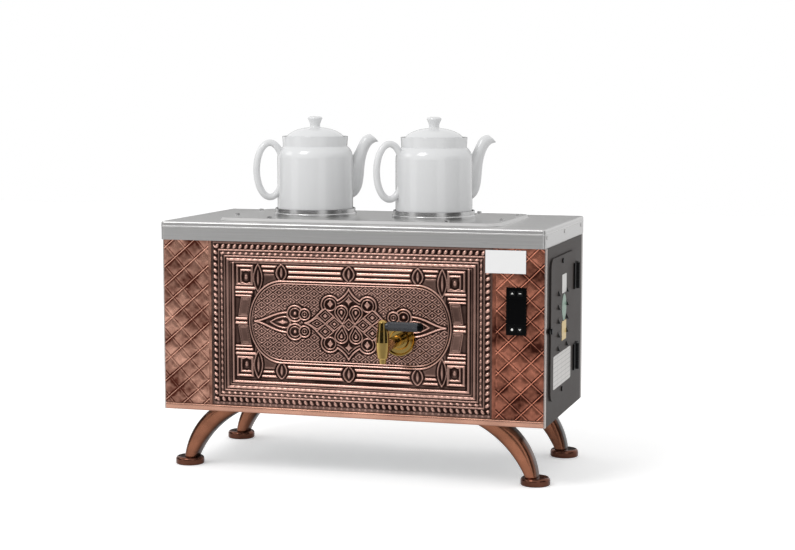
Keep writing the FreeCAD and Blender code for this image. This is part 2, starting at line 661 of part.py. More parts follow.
def make_embossed_panel():
    """Thin sheet with stepped frames, corner squares and the rim of a long oval field."""
    body = new_body("embossed_body")
    face = "(relief_height + copper_gauge)"
    base = new_sketch(body, "XZ_Plane", "emboss_sheet")
    rectangle(base, "-panel_half", "panel_half", BAND_TOP, "casing_top")
    pad(body, base, "copper_gauge")
    for index in range(3):
        frame = new_sketch(body, "XZ_Plane", "emboss_frame_%d" % index)
        across = "(panel_half - %d * frame_step)" % index
        rise = "(frame_rise - %d * frame_step)" % index
        width = "bead_width" if index == 0 else "frame_width"
        rectangle(frame, "-" + across, across, "emboss_middle - " + rise, "emboss_middle + " + rise)
        rectangle(frame, "-(%s - %s)" % (across, width), "%s - %s" % (across, width),
                  "emboss_middle - %s + %s" % (rise, width),
                  "emboss_middle + %s - %s" % (rise, width))
        pad(body, frame, face)
    rim = new_sketch(body, "XZ_Plane", "emboss_field_rim")
    for inset in ("0", "field_rim"):
        rise = "(field_rise - %s)" % inset
        bow = "-(field_half - field_straight - %s)" % inset
        outline(rim, [("-field_straight", "field_middle - " + rise),
                      ("field_straight", "field_middle - " + rise, bow),
                      ("field_straight", "field_middle + " + rise),
                      ("-field_straight", "field_middle + " + rise, bow)])
    pad(body, rim, face)
    corners = new_sketch(body, "XZ_Plane", "emboss_corners")
    for sign in SIDES.values():
        for rise in (-1, 1):
            middle_x = "%d * corner_across" % sign
            middle_z = "(field_middle + %d * corner_up)" % rise
            rectangle(corners, "%s - corner_size / 2" % middle_x, "%s + corner_size / 2" % middle_x,
                      "%s - corner_size / 2" % middle_z, "%s + corner_size / 2" % middle_z)
    pad(body, corners, face)
    place(body, "0", FRONT, "0")
    hole = tap_hole("panel_tap_hole", "collar_radius", RELIEF_FACE, "2 * cut_spare")
    piece(cut("embossed_cut", body, [hole]), "embossed_front_panel")


def make_diamond_strip(side):
    """Sheet beside the embossed panel, crossed by two sets of sloping ridges."""
    sign = SIDES[side]
    inner = "(panel_half + groove_width)"
    outer = "(%s - edge_width)" % HALF
    west, east = (inner, outer) if sign > 0 else ("-" + outer, "-" + inner)
    sheet = block(side + "_strip_sheet", west, east, COPPER_FACE, FRONT, BAND_TOP, "casing_top")
    spare = 1 + int(number("(%s - %s) / diamond_across" % (outer, inner)))
    rows = int(number("(casing_top - %s) / diamond_up" % BAND_TOP))
    lean = "atan(diamond_up / diamond_across)"
    ridges = []
    for way, slope in (("up", 1), ("down", -1)):
        first = -spare if slope > 0 else 1
        for step in range(first, first + rows + spare + 1):
            ridge = doc.addObject("Part::Box", "%s_ridge_%s_%d" % (side, way, step - first))
            bind(ridge, "Length", "(%s - %s + 2 * diamond_across) / cos(%s)" % (outer, inner, lean))
            bind(ridge, "Width", "relief_height")
            bind(ridge, "Height", "ridge_width")
            place(ridge, "%s - diamond_across" % west, RELIEF_FACE,
                  "%s + %d * diamond_up" % (BAND_TOP, step - slope), (V(0, 1, 0), 1))
            bind(ridge, "Placement.Rotation.Angle", "%d * %s" % (-slope, lean))
            ridges.append(ridge)
    area = block(side + "_ridge_area", west, east, RELIEF_FACE, COPPER_FACE, BAND_TOP, "casing_top")
    trimmed = common(side + "_ridges", union(side + "_ridge_set", ridges), area)
    strip = union(side + "_strip_relief", [sheet, trimmed])
    if side == "left":
        return piece(strip, "diamond_strip_left")
    seat = block("bezel_seat", "bezel_left - cutout_gap", "bezel_right + cutout_gap", RELIEF_FACE,
                 COPPER_FACE, "bezel_low - cutout_gap", "bezel_high + cutout_gap")
    openings = [seat, controller_cutout("strip_controller_cutout")]
    return piece(cut("right_strip_cut", strip, openings), "diamond_strip_right")


def make_front_trim():
    piece(block("trim_sheet", "edge_width - %s" % HALF, "%s - edge_width" % HALF,
                "-front_reach - band_gauge", FRONT, "casing_bottom", BAND_TOP), "lower_front_trim")


def make_name_plate():
    piece(block("name_sheet", "name_left", "name_right", "%s - name_gauge" % RELIEF_FACE,
                RELIEF_FACE, "name_low", "name_high"), "name_plate")


# Top tray with its raised plate, studs and the chrome pot rings


def pot_places():
    for side, sign in SIDES.items():
        yield side, "(pot_middle + %d * pot_spacing / 2)" % sign


def steam_holes(body, name):
    sketch = new_sketch(body, "XY_Plane", name)
    for side, across in pot_places():
        disc(sketch, across, "-pot_depth", "steam_hole")
    return sketch


def make_top_tray():
    """Folded pan, upside down: rolled edges, a lip all round and a hem that rests on the casing."""
    body = new_body("tray_body")
    outer = new_sketch(body, "XY_Plane", "tray_outer")
    rounded_rectangle(outer, "-tray_left", "tray_right", "-tray_front", "tray_back", "tray_corner")
    solid = pad(body, outer, "tray_top - casing_top")
    doc.recompute()
    height = number("tray_top - casing_top")
    top_edges = edges_where(solid.Shape, lambda point: abs(point.z - height) < 1e-6)
    fillet(body, solid, top_edges, "tray_edge")
    inside = new_sketch(body, "XY_Plane", "tray_inside")
    rounded_rectangle(inside, "tray_gauge - tray_left", "tray_right - tray_gauge",
                      "tray_gauge - tray_front", "tray_back - tray_gauge",
                      "tray_corner - tray_gauge")
    pocket(body, inside, "tray_top - casing_top - tray_gauge")
    hem = new_sketch(body, "XY_Plane", "tray_hem_outline")
    rounded_rectangle(hem, "tray_gauge / 2 - tray_left", "tray_right - tray_gauge / 2",
                      "tray_gauge / 2 - tray_front", "tray_back - tray_gauge / 2",
                      "tray_corner - tray_gauge / 2")
    rectangle(hem, "tray_hem - tray_left", "tray_right - tray_hem", "tray_hem - tray_front",
              "tray_back - tray_hem")
    pad(body, hem, "tray_gauge")
    pocket(body, steam_holes(body, "tray_steam_holes"), "2 * (tray_top - casing_top)")
    place(body, "0", "0", "casing_top")
    holes = [rod("tray_hole_" + name, "z", (across, depth, "tray_top - cut_spare"),
                 "2 * cut_spare", "stud_radius + stud_gap")
             for name, across, depth in nut_places()]
    holes += [rod("tray_hole_" + name, "x", (start, depth, "rivet_up"), "2 * tray_gauge",
                  "stud_radius + stud_gap")
              for name, start, depth, sign in rivet_places("1.5 * tray_gauge")]
    piece(cut("tray_cut", body, holes), "top_tray")


def nut_places():
    """Four nuts at the ends of the raised plate and four along its front and back."""
    for side, sign in SIDES.items():
        yield side + "_end_front", "%d * nut_side" % sign, "-nut_side_front"
        yield side + "_end_back", "%d * nut_side" % sign, "nut_side_back"
        yield side + "_front", "%d * nut_spread" % sign, "-nut_front"
        yield side + "_back", "%d * nut_spread" % sign, "nut_back"


def rivet_places(inset):
    """Three rivets through each end lip of the tray, as (name, west end, depth, side)."""
    for side, sign in SIDES.items():
        lip = "tray_right - " + inset if sign > 0 else "-tray_left - tray_gauge / 2"
        for row in range(3):
            yield "%s_%d" % (side, row), lip, "%d * rivet_pitch - rivet_front" % row, sign


def make_raised_plate():
    body = new_body("plate_body")
    outer = new_sketch(body, "XY_Plane", "plate_outer")
    rounded_rectangle(outer, "-plate_half", "plate_half", "-plate_front", "plate_back",
                      "plate_corner")
    solid = pad(body, outer, "plate_rise")
    doc.recompute()
    rise = number("plate_rise")
    top_edges = edges_where(solid.Shape, lambda point: abs(point.z - rise) < 1e-6)
    slope = body.newObject("PartDesign::Chamfer", "plate_slope")
    slope.Base = (solid, top_edges)
    bind(slope, "Size", "plate_rise - plate_gauge / 2")
    inside = new_sketch(body, "XY_Plane", "plate_inside")
    rounded_rectangle(inside, "plate_rim - plate_half", "plate_half - plate_rim",
                      "plate_rim - plate_front", "plate_back - plate_rim",
                      "plate_corner - plate_rim")
    pocket(body, inside, "plate_rise - plate_gauge")
    pocket(body, steam_holes(body, "plate_steam_holes"), "2 * plate_rise")
    place(body, "0", "0", "tray_top")
    holes = [rod("plate_hole_" + name, "z", (across, depth, "tray_top"),
                 "plate_rise + cut_spare", "stud_radius + stud_gap")
             for name, across, depth in nut_places()]
    piece(cut("plate_cut", body, holes), "raised_plate")


def make_plate_nuts():
    nuts = []
    for name, across, depth in nut_places():
        nut = hexagon("nut_" + name, "z", (across, depth, PLATE_TOP), "nut_rise", "nut_radius")
        stud = rod("stud_" + name, "z", (across, depth, "tray_top - tray_gauge"),
                   "tray_gauge + plate_rise", "stud_radius")
        nuts.append(union("plate_nut_" + name, [nut, stud]))
    piece(group("nut_group", nuts), "plate_nuts")


def make_tray_rivets():
    rivets = []
    for name, start, depth, sign in rivet_places("tray_gauge"):
        lip = "tray_right" if sign > 0 else "-tray_left - rivet_head"
        head = rod("rivet_head_" + name, "x", (lip, depth, "rivet_up"), "rivet_head",
                   "rivet_radius")
        shank_start = "tray_right - tray_gauge" if sign > 0 else "-tray_left"
        shank = rod("rivet_shank_" + name, "x", (shank_start, depth, "rivet_up"), "tray_gauge",
                    "stud_radius")
        rivets.append(union("rivet_" + name, [head, shank]))
    piece(group("rivet_group", rivets), "tray_rivets")


def make_pot_rings():
    for side, across in pot_places():
        ring = turned(side + "_ring", [
            ("ring_bore", "0"), ("ring_outer", "0"),
            ("ring_outer", "ring_tier - ring_round", "-ring_round * %s" % QUARTER),
            ("ring_outer - ring_round", "ring_tier"),
            ("pot_radius + pot_gap + ring_wall", "ring_tier"),
            ("pot_radius + pot_gap + ring_wall", "ring_rise"),
            ("pot_radius + pot_gap", "ring_rise"), ("pot_radius + pot_gap", "ring_ledge"),
            ("ring_bore", "ring_ledge")])
        piece(place(ring, across, "-pot_depth", PLATE_TOP), "pot_ring_" + side)


# Teapots and lids, modelled about their own axis with the foot at zero height

# Across and up of each section's middle, its two half sizes, and its tilt in degrees, on a pot
# with a body of SPOUT_POT in radius
SPOUT_POT = 63
SPOUT = [(48, 20, 14, 13.5, 0), (61.5, 36, 16.5, 15, 0), (66.5, 66, 16.8, 13, 4),
         (77, 93, 10.5, 9.5, 14), (86, 111.5, 9.8, 8.8, 28), (101, 120.5, 9.5, 7.5, 44)]


def make_spout(name, wall, overrun):
    """Loft through tilted ellipses from the pot's side up to the lip."""
    sections = []
    for index, (across, up, radial, lateral, tilt) in enumerate(SPOUT):
        ellipse = doc.addObject("Part::Ellipse", "%s_section_%d" % (name, index))
        bind(ellipse, "MajorRadius", "%s - %s" % (radial, wall))
        bind(ellipse, "MinorRadius", "%s - %s" % (lateral, wall))
        past = overrun if index == len(SPOUT) - 1 else "0"
        place(ellipse, "pot_radius + %s + %s * sin(%s)" % (across - SPOUT_POT, past, tilt), "0",
              "%s + %s * cos(%s)" % (up, past, tilt), (V(0, 1, 0), tilt))
        sections.append(ellipse)
    loft = doc.addObject("Part::Loft", name)
    loft.Sections = sections
    loft.Solid = True
    return loft


def make_handle(name):
    """Round bar along an upright oval, from the pot's neck round to its side."""
    middle = V(-number("handle_across"), 0, number("handle_up"))
    top = middle + V(0, 0, number("handle_rise"))
    far = middle - V(number("handle_half"), 0, 0)
    root = math.radians(number("handle_root"))
    path = Part.Ellipse(top, far, middle).toShape(-root, math.pi + root)
    start = path.FirstParameter
    ring = Part.Circle(path.valueAt(start), path.tangentAt(start), number("handle_thick / 2"))
    bar = doc.addObject("Part::Feature", name)
    bar.Shape = Part.Wire([path]).makePipeShell([Part.Wire(ring.toShape())], True, False)
    return bar


def make_teapots():
    for side, across in pot_places():
        outside = turned(side + "_pot_outside", [
            ("0", "0"), ("pot_radius - pot_heel", "0", "-pot_heel * %s" % QUARTER),
            ("pot_radius", "pot_heel"), ("pot_radius", "pot_side", "-pot_side_bow"),
            ("neck_radius", "pot_shoulder"), ("rim_radius", "pot_height"), ("0", "pot_height")])
        inside = turned(side + "_pot_inside", [
            ("0", "pot_wall"),
            ("pot_radius - pot_wall - pot_heel", "pot_wall", "-pot_heel * %s" % QUARTER),
            ("pot_radius - pot_wall", "pot_wall + pot_heel"), ("pot_radius - pot_wall", "pot_side"),
            ("neck_radius - pot_wall", "pot_shoulder"),
            ("mouth_radius", "pot_height - 2 * gallery_depth"),
            ("mouth_radius", "pot_height - gallery_depth"),
            ("gallery_radius", "pot_height - gallery_depth"),
            ("gallery_radius", "pot_height + cut_spare"), ("0", "pot_height + cut_spare")])
        solid = union(side + "_pot_solid", [outside, make_spout(side + "_spout", "0", "0"),
                                            make_handle(side + "_handle")])
        bore = make_spout(side + "_bore", "spout_wall", "spout_cut")
        pot = cut(side + "_pot_cut", solid, [inside, bore])
        place(pot, across, "-pot_depth", POT_SEAT, (V(0, 0, 1), 1))
        bind(pot, "Placement.Rotation.Angle", side + "_pot_turn")
        piece(pot, "teapot_" + side)


def make_lids():
    for side, across in pot_places():
        lid = turned(side + "_lid", [
            ("lid_skirt_radius - lid_wall", "-lid_skirt"), ("lid_skirt_radius", "-lid_skirt"),
            ("lid_skirt_radius", "0"), ("lid_radius", "0"), ("lid_radius", "lid_edge", "-lid_bow"),
            ("knob_waist", "lid_edge + lid_crown"), ("knob_waist", "knob_neck", "knob_waist / 3"),
            ("knob_radius", "knob_rise", "-knob_bow"), ("crown_flat", "knob_top"),
            ("0", "knob_top"), ("0", "lid_edge + lid_crown - lid_wall"),
            ("crown_flat", "lid_edge + lid_crown - lid_wall", "lid_bow"),
            ("lid_skirt_radius - lid_wall", "0")])
        place(lid, across, "-pot_depth", "%s + pot_height - gallery_depth" % POT_SEAT)
        piece(lid, "teapot_lid_" + side)


# Water tank, its gasket and insulation


def shell(name, sides, low, high, gauge, floor):
    """Open-topped box: outer limits (west, east, front, back) and the wall inside them."""
    west, east, front, back = sides
    outer = block(name + "_outer", west, east, front, back, low, high)
    inner = block(name + "_inner", "%s + %s" % (west, gauge), "%s - %s" % (east, gauge),
                  "%s + %s" % (front, gauge), "%s - %s" % (back, gauge), "%s + %s" % (low, floor),
                  "%s + cut_spare" % high)
    return cut(name, outer, [inner])


TANK = ("-tank_left", "tank_right", "-tank_front", "tank_back")
DECK = ("(tray_hem + skirt_gap - tray_left)", "(tray_right - tray_hem - skirt_gap)",
        "(tray_hem + skirt_gap - tray_front)", "(tray_back - tray_hem - skirt_gap)")


def make_water_tank():
    walls = shell("tank_walls", TANK, "tank_bottom", "deck_top", "tank_gauge", "tank_gauge")
    west, east, front, back = DECK
    skirt_solid = block("skirt_solid", west, east, front, back, "casing_top", "deck_top")
    skirt_space = block("skirt_space", west + " + tank_gauge", east + " - tank_gauge",
                        front + " + tank_gauge", back + " - tank_gauge",
                        "casing_top - cut_spare", "deck_top - tank_gauge")
    mouth = block("tank_mouth", "tank_gauge - tank_left", "tank_right - tank_gauge",
                  "tank_gauge - tank_front", "tank_back - tank_gauge", "deck_top - cut_spare",
                  "deck_top + cut_spare")
    deck = cut("tank_deck", skirt_solid, [skirt_space, mouth])
    stub = rod("drain_stub_tube", "y", ("-drain_across", "tank_back - tank_gauge", "drain_up"),
               "back_reach + drain_stub - tank_back + tank_gauge", "drain_radius")
    holes = [
        rod("drain_way", "y", ("-drain_across", "tank_back - cut_spare", "drain_up"),
            "back_reach + drain_stub - tank_back + 2 * cut_spare", "drain_radius - drain_wall"),
        tap_hole("tank_tap_hole", "shank_radius + fit_gap", "-tank_front - cut_spare",
                 "2 * cut_spare"),
        wall_hole("element_hole", "tank_right", ELEMENT, "element_shank + fit_gap"),
        wall_hole("probe_hole", "tank_right", PROBE, "probe_radius + fit_gap")]
    piece(cut("tank_cut", union("tank_folds", [walls, deck, stub]), holes), "water_tank")


ELEMENT = ("element_depth", "element_up")
PROBE = ("probe_depth", "probe_up")


def wall_hole(name, across, spot, radius):
    """Bore along X through a thin wall."""
    return rod(name, "x", ("%s - cut_spare" % across,) + spot, "2 * cut_spare", radius)


def make_tank_gasket():
    outer = block("gasket_outer", "-tank_left - gasket_width", "tank_right + gasket_width",
                  "-tank_front - gasket_width", "tank_back + gasket_width", "deck_top",
                  "tray_top - tray_gauge")
    inner = block("gasket_inner", *TANK, "deck_top - cut_spare", "tray_top")
    piece(cut("gasket_cut", outer, [inner]), "tank_gasket")


def make_insulation():
    """Open box round the tank, with clear ways for what passes through it."""
    gap, thick = "jacket_gap", "jacket_thick"
    outer = block("jacket_outer", "-tank_left - %s - %s" % (gap, thick),
                  "tank_right + %s + jacket_side" % gap, "-tank_front - %s - %s" % (gap, thick),
                  "tank_back + %s + %s" % (gap, thick), PAN_TOP, "jacket_top")
    inner = block("jacket_inner", "-tank_left - %s" % gap, "tank_right + %s" % gap,
                  "-tank_front - %s" % gap, "tank_back + %s" % gap, "tank_bottom - %s" % gap,
                  "jacket_top + cut_spare")
    through = "2 * cut_spare + jacket_thick"
    holes = [
        tap_hole("jacket_tap_hole", "collar_radius + jacket_clearance",
                 "-tank_front - jacket_thick - cut_spare", through),
        rod("jacket_drain_hole", "y", ("-drain_across", "tank_back", "drain_up"), through,
            "drain_radius + jacket_clearance"),
        rod("jacket_element_hole", "x", ("tank_right",) + ELEMENT, through,
            "element_head + jacket_clearance"),
        rod("jacket_probe_hole", "x", ("tank_right",) + PROBE, through, "3 * probe_radius")]
    holes += [rod("jacket_bolt_space_" + name, "z", (across, depth, "casing_bottom"),
                  "2 * casing_gauge + head_rise + jacket_clearance", "head_radius + jacket_clearance")
              for name, across, depth in bolt_places() if name.startswith("left")]
    piece(cut("jacket_cut", outer, [inner] + holes), "insulation_jacket")


def make_drain_plug():
    head = hexagon("drain_cap_head", "y", ("-drain_across", "back_reach + drain_stub", "drain_up"),
                   "drain_cap_rise", "drain_cap")
    shank = rod("drain_cap_shank", "y", ("-drain_across", "back_reach - drain_stub", "drain_up"),
                "2 * drain_stub", "drain_radius - drain_wall - fit_gap")
    piece(union("drain_cap_body", [head, shank]), "drain_plug")


def make_heating_element():
    """Rod bent into a U on a hexagonal flange, with two contact pins, and the nut inside."""
    head = hexagon("element_flange", "x", ("tank_right",) + ELEMENT, "element_flange",
                   "element_head")
    boss = rod("element_boss", "x", ("tank_right + element_flange",) + ELEMENT, "element_boss",
               "element_shank")
    thread_start = "(tank_right - tank_gauge - element_thread)"
    thread = rod("element_thread", "x", (thread_start,) + ELEMENT, "element_thread + tank_gauge",
                 "element_shank")
    run = "(element_reach - element_spread)"
    bars = []
    for name, way in (("front", -1), ("back", 1)):
        bars.append(rod("element_bar_" + name, "x",
                        ("%s - %s" % (thread_start, run),
                         "element_depth + %d * element_spread" % way, "element_up"), run,
                        "element_rod"))
        bars.append(rod("element_pin_" + name, "x",
                        ("tank_right + element_flange + element_boss",
                         "element_depth + %d * element_pin_spread" % way, "element_up"),
                        "element_pin", "element_pin_radius"))
    bend = doc.addObject("Part::Torus", "element_bend")
    bind(bend, "Radius1", "element_spread")
    bind(bend, "Radius2", "element_rod")
    bend.Angle3 = 180
    place(bend, "%s - %s" % (thread_start, run), "element_depth", "element_up", (V(0, 0, 1), 90))
    piece(union("element_union", [head, boss, thread, bend] + bars), "heating_element")

    nut_start = "(tank_right - tank_gauge - element_nut)"
    nut = hexagon("element_nut_outer", "x", (nut_start,) + ELEMENT, "element_nut", "element_head")
    nut_hole = rod("element_nut_hole", "x", ("%s - cut_spare" % nut_start,) + ELEMENT,
                   "element_nut + 2 * cut_spare", "element_shank + fit_gap / 2")
    piece(cut("element_nut_cut", nut, [nut_hole]), "element_nut")


def make_probe():
    stem = rod("probe_stem", "x", ("tank_right - probe_reach",) + PROBE,
               "probe_reach + probe_tail", "probe_radius")
    gland = hexagon("probe_gland", "x", ("tank_right",) + PROBE, "probe_gland",
                    "2.5 * probe_radius")
    piece(union("probe_union", [stem, gland]), "temperature_probe")


def make_divider():
    sheet = block("divider_sheet", "divider_left", "divider_left + casing_gauge", FRONT_INNER,
                  BACK_INNER, PAN_TOP, "divider_top")
    front = block("divider_front_flange", "divider_left", "divider_left + divider_flange",
                  FRONT_INNER, FRONT_INNER + " + casing_gauge", PAN_TOP, "divider_top")
    back = block("divider_back_flange", "divider_left", "divider_left + divider_flange",
                 BACK_INNER + " - casing_gauge", BACK_INNER, PAN_TOP, "divider_top")
    holes = [wall_hole("divider_element_hole", "divider_left", ELEMENT,
                       "element_head + jacket_clearance"),
             wall_hole("divider_probe_hole", "divider_left", PROBE, "3 * probe_radius")]
    piece(cut("divider_cut", union("divider_folds", [sheet, front, back]), holes), "divider_panel")


WELL_PLACES = range(-2, 3)


def make_electrics():
    """Relay and limit thermostat on the divider, terminal block on the pan, gland in the back."""
    wall = "(divider_left + casing_gauge)"
    relay_high = "(casing_top - relay_drop)"
    piece(block("relay_case", wall, wall + " + relay_across", "-relay_front",
                "relay_deep - relay_front", relay_high + " - relay_height", relay_high), "relay")
    piece(rod("limit_can", "x", (wall, "limit_back", "casing_top - limit_drop"), "limit_depth",
              "limit_radius"), "limit_thermostat")
    west = "(divider_left + terminal_gap)"
    strip = block("terminal_strip", west, west + " + terminal_length", "terminal_front",
                  "terminal_front + terminal_width", PAN_TOP, PAN_TOP + " + terminal_height")
    wells = [rod("terminal_well_%d" % (spot - WELL_PLACES[0]), "z",
                 ("%s + terminal_length / 2 + %d * well_pitch" % (west, spot),
                  "terminal_front + terminal_width / 2",
                  PAN_TOP + " + terminal_height - well_depth"),
                 "well_depth + cut_spare", "well_radius") for spot in WELL_PLACES]
    piece(cut("terminal_cut", strip, wells), "terminal_block")
    outer = turned("gland_body", [
        ("gland_bore", "-3 * casing_gauge"), ("gland_radius", "-3 * casing_gauge"),
        ("gland_radius", "0"), ("1.5 * gland_radius", "0"), ("1.5 * gland_radius", "gland_flange"),
        ("1.2 * gland_radius", "gland_flange * 1.2"),
        ("1.2 * gland_radius", "gland_reach - gland_bore"),
        ("gland_radius", "gland_reach"), ("gland_bore", "gland_reach")])
    piece(place(outer, "gland_across", "back_reach", "gland_up", TURNS["y"]), "cable_gland")


# Controller in the right copper strip


def make_controller():
    """Bezel with a sunk window and four key wells, the keys, and the housing behind."""
    bezel_front = "(%s - bezel_thick)" % COPPER_FACE
    bezel = block("bezel_block", "bezel_left", "bezel_right", bezel_front, COPPER_FACE, "bezel_low",
                  "bezel_high")
    recess = block("window_recess", "bezel_left + window_side", "bezel_right - window_side",
                   bezel_front, bezel_front + " + window_thick + window_sink", "window_low",
                   "window_high")
    wells = []
    reach = "(key_size / 2 + key_gap)"
    half = "key_size / 2"
    for up_name, up in (("upper", "key_high"), ("lower", "key_low")):
        for side, across in (("left", "key_left"), ("right", "key_right")):
            wells.append(block("key_well_%s_%s" % (up_name, side), "%s - %s" % (across, reach),
                               "%s + %s" % (across, reach), bezel_front, COPPER_FACE,
                               "%s - %s" % (up, reach), "%s + %s" % (up, reach)))
            key = block("key_%s_%s" % (up_name, side), "%s - %s" % (across, half),
                        "%s + %s" % (across, half), bezel_front + " - key_stand",
                        COPPER_FACE + " - key_travel - key_gap", "%s - %s" % (up, half),
                        "%s + %s" % (up, half))
            piece(key, "%s_%s_button" % (up_name, side))
    piece(cut("bezel_cut", bezel, [recess] + wells), "controller_bezel")
    piece(block("window_sheet", "bezel_left + window_side + cutout_gap",
                "bezel_right - window_side - cutout_gap", bezel_front + " + window_sink",
                bezel_front + " + window_sink + window_thick", "window_low + cutout_gap",
                "window_high - cutout_gap"), "controller_window")
    piece(block("housing_block", "bezel_left + housing_step", "bezel_right - housing_step",
                COPPER_FACE, COPPER_FACE + " + housing_depth", "bezel_low + housing_step",
                "bezel_high - housing_step"), "controller_housing")


# Tap: rosette, body with its barrel and nozzle, tapered plug, hub and lever


def make_rosette():
    bore = "(tube_radius + rosette_gap)"
    rosette = turned("rosette_body", [
        (bore, "0"), ("rosette_radius - rosette_edge", "0"), ("rosette_radius", "rosette_edge"),
        ("rosette_radius", "rosette_thick"), ("rosette_radius - rosette_rim", "rosette_thick"),
        ("rosette_radius - rosette_rim - rosette_slope", "rosette_dish"),
        ("collar_radius + rosette_slope", "rosette_dish"),
        ("collar_radius", "rosette_thick + rosette_edge"),
        (bore, "rosette_thick + rosette_edge")])
    piece(place(rosette, "tap_across", RELIEF_FACE, "tap_up", (V(1, 0, 0), 90)), "tap_rosette")


def make_tap_body():
    """Upright barrel on a tube with a collar and a shank through the tank's wall, and its ways."""
    barrel = turned("barrel_body", [
        ("0", "nozzle_low"), ("nozzle_radius - nozzle_taper", "nozzle_low"),
        ("nozzle_radius", "barrel_low - 2 * nozzle_taper"),
        ("barrel_radius - barrel_taper", "barrel_low", "-barrel_taper / 4"),
        ("barrel_radius", "tap_up + barrel_waist"),
        ("barrel_radius - barrel_shoulder", "barrel_top"), ("0", "barrel_top")])
    place(barrel, "tap_across", "-tap_reach", "0")
    tube = rod("tap_tube", "y", ("tap_across", "-tap_reach", "tap_up"), "tap_reach - tank_front",
               "tube_radius")
    collar = tap_hole("tap_collar", "collar_radius - rosette_gap", "-tank_front - collar_thick",
                      "collar_thick")
    shank = tap_hole("tap_shank", "shank_radius", "-tank_front",
                     "tank_gauge + seal_thick + locknut_thick + shank_tail")
    cavity = rod("plug_bore", "z", ("tap_across", "-tap_reach", "plug_low"), "barrel_top",
                 "plug_radius + plug_gap")
    outlet = rod("tap_outlet", "z", ("tap_across", "-tap_reach", "nozzle_low - cut_spare"),
                 "barrel_top - nozzle_low", "way_radius")
    inlet = tap_hole("tap_inlet", "way_radius", "-tap_reach", "tap_reach")
    piece(cut("tap_cut", union("tap_solid", [barrel, tube, collar, shank]), [cavity, outlet, inlet]),
          "tap_body")


def make_tap_handle():
    """Plug with its bent way, the hub on top of it, and the lever."""
    stem = rod("plug_stem", "z", ("tap_across", "-tap_reach", "plug_low + plug_gap"),
               "barrel_top + hub_gap - plug_low - plug_gap", "plug_radius")
    cross = rod("plug_cross_bore", "x", ("tap_across - 2 * plug_radius", "-tap_reach", "tap_up"),
                "4 * plug_radius", "way_radius")
    down = rod("plug_down_bore", "z", ("tap_across", "-tap_reach", "plug_low"),
               "tap_up - plug_low", "way_radius")
    piece(cut("plug_cut", stem, [cross, down]), "tap_plug")

    hub = turned("hub_body", [
        ("0", "barrel_top + hub_gap"), ("hub_radius", "barrel_top + hub_gap"),
        ("hub_radius - hub_dome / 4", "hub_top - hub_dome", "-hub_dome / 4"),
        ("crown_flat", "hub_top"), ("0", "hub_top")])
    place(hub, "tap_across", "-tap_reach", "0")
    spigot_place = ("tap_across + spigot_start", "-tap_reach", "lever_up")
    socket = rod("hub_socket", "x", spigot_place, "2 * hub_radius",
                 "lever_radius / 2 + spigot_gap")
    piece(cut("hub_cut", hub, [socket]), "tap_hub")

    spigot = rod("lever_spigot", "x", spigot_place, "spigot_length", "lever_radius / 2")
    cap_start = "grip_length - lever_cap"
    grip = turned("lever_grip", [
        ("0", "0"), ("lever_radius + lever_ring", "0"),
        ("lever_radius + lever_ring", "lever_collar"),
        ("lever_radius", "lever_collar + lever_step"), ("lever_radius", cap_start),
        ("lever_radius + lever_ring", cap_start),
        ("lever_radius + lever_ring", "grip_length - lever_tip", "-lever_step"),
        ("crown_flat", "grip_length"), ("0", "grip_length")])
    place(grip, "tap_across + hub_radius + lever_gap", "-tap_reach", "lever_up", TURNS["x"])
    piece(union("lever_union", [spigot, grip]), "tap_lever")


def make_tap_fixing():
    """Sealing ring and hexagonal nut on the tap's shank, inside the tank."""
    seal_start = "(tank_gauge - tank_front)"
    seal = tap_hole("tap_seal_outer", "collar_radius", seal_start, "seal_thick")
    seal_hole = tap_hole("tap_seal_hole", "shank_radius + fit_gap", seal_start, "2 * seal_thick")
    piece(cut("tap_seal_cut", seal, [seal_hole]), "tap_seal")
    nut_start = seal_start + " + seal_thick"
    nut = hexagon("tap_locknut_outer", "y", ("tap_across", nut_start, "tap_up"), "locknut_thick",
                  "locknut_radius")
    nut_hole = tap_hole("tap_locknut_hole", "shank_radius + fit_gap / 2", nut_start,
                        "2 * locknut_thick")
    piece(cut("tap_locknut_cut", nut, [nut_hole]), "tap_locknut")


# Door of the right side, its seal, hinges, labels, screws and turn button

SEAL_FACE = "(body_width / 2 + seal_gauge)"
DOOR_FACE = "(body_width / 2 + seal_gauge + door_gauge)"
LOUVRE_ROWS = 5


def door_sheet(name, inset, thick, start):
    """Rounded sheet in the door's outline, drawn in by an inset."""
    body = new_body(name)
    sketch = new_sketch(body, "YZ_Plane", name + "_outline")
    rounded_rectangle(sketch, "-door_front + " + inset, "door_back - " + inset, "door_low + " + inset,
                      "door_high - " + inset, "door_corner - " + inset)
    pad(body, sketch, thick)
    return place(body, start, "0", "0")


def make_door():
    sheet = door_sheet("door_sheet", "0", "door_gauge", SEAL_FACE)
    louvres = []
    for column, depth in (("front", "-louvre_front"), ("back", "-louvre_back")):
        for row in range(LOUVRE_ROWS):
            hood = doc.addObject("Part::Wedge", "louvre_%s_%d" % (column, row))
            for setting, text in (("Xmin", "0"), ("Xmax", "louvre_stand"), ("Ymin", "0"),
                                  ("Ymax", "louvre_height"), ("Zmin", "0"),
                                  ("Zmax", "louvre_width"), ("X2min", "0"),
                                  ("X2max", "louvre_top"), ("Z2min", "0"),
                                  ("Z2max", "louvre_width")):
                bind(hood, setting, text)
            place(hood, DOOR_FACE, "%s + louvre_width / 2" % depth,
                  "louvre_low + %d * louvre_pitch" % row, (V(1, 0, 0), 90))
            louvres.append(hood)
    piece(union("door_union", [sheet] + louvres), "side_door")
    seal = door_sheet("seal_sheet", "seal_inset", "seal_gauge", HALF)
    hole = door_sheet("seal_hole", "seal_width", "3 * seal_gauge", HALF + " - seal_gauge")
    piece(cut("seal_cut", seal, [hole]), "door_seal")


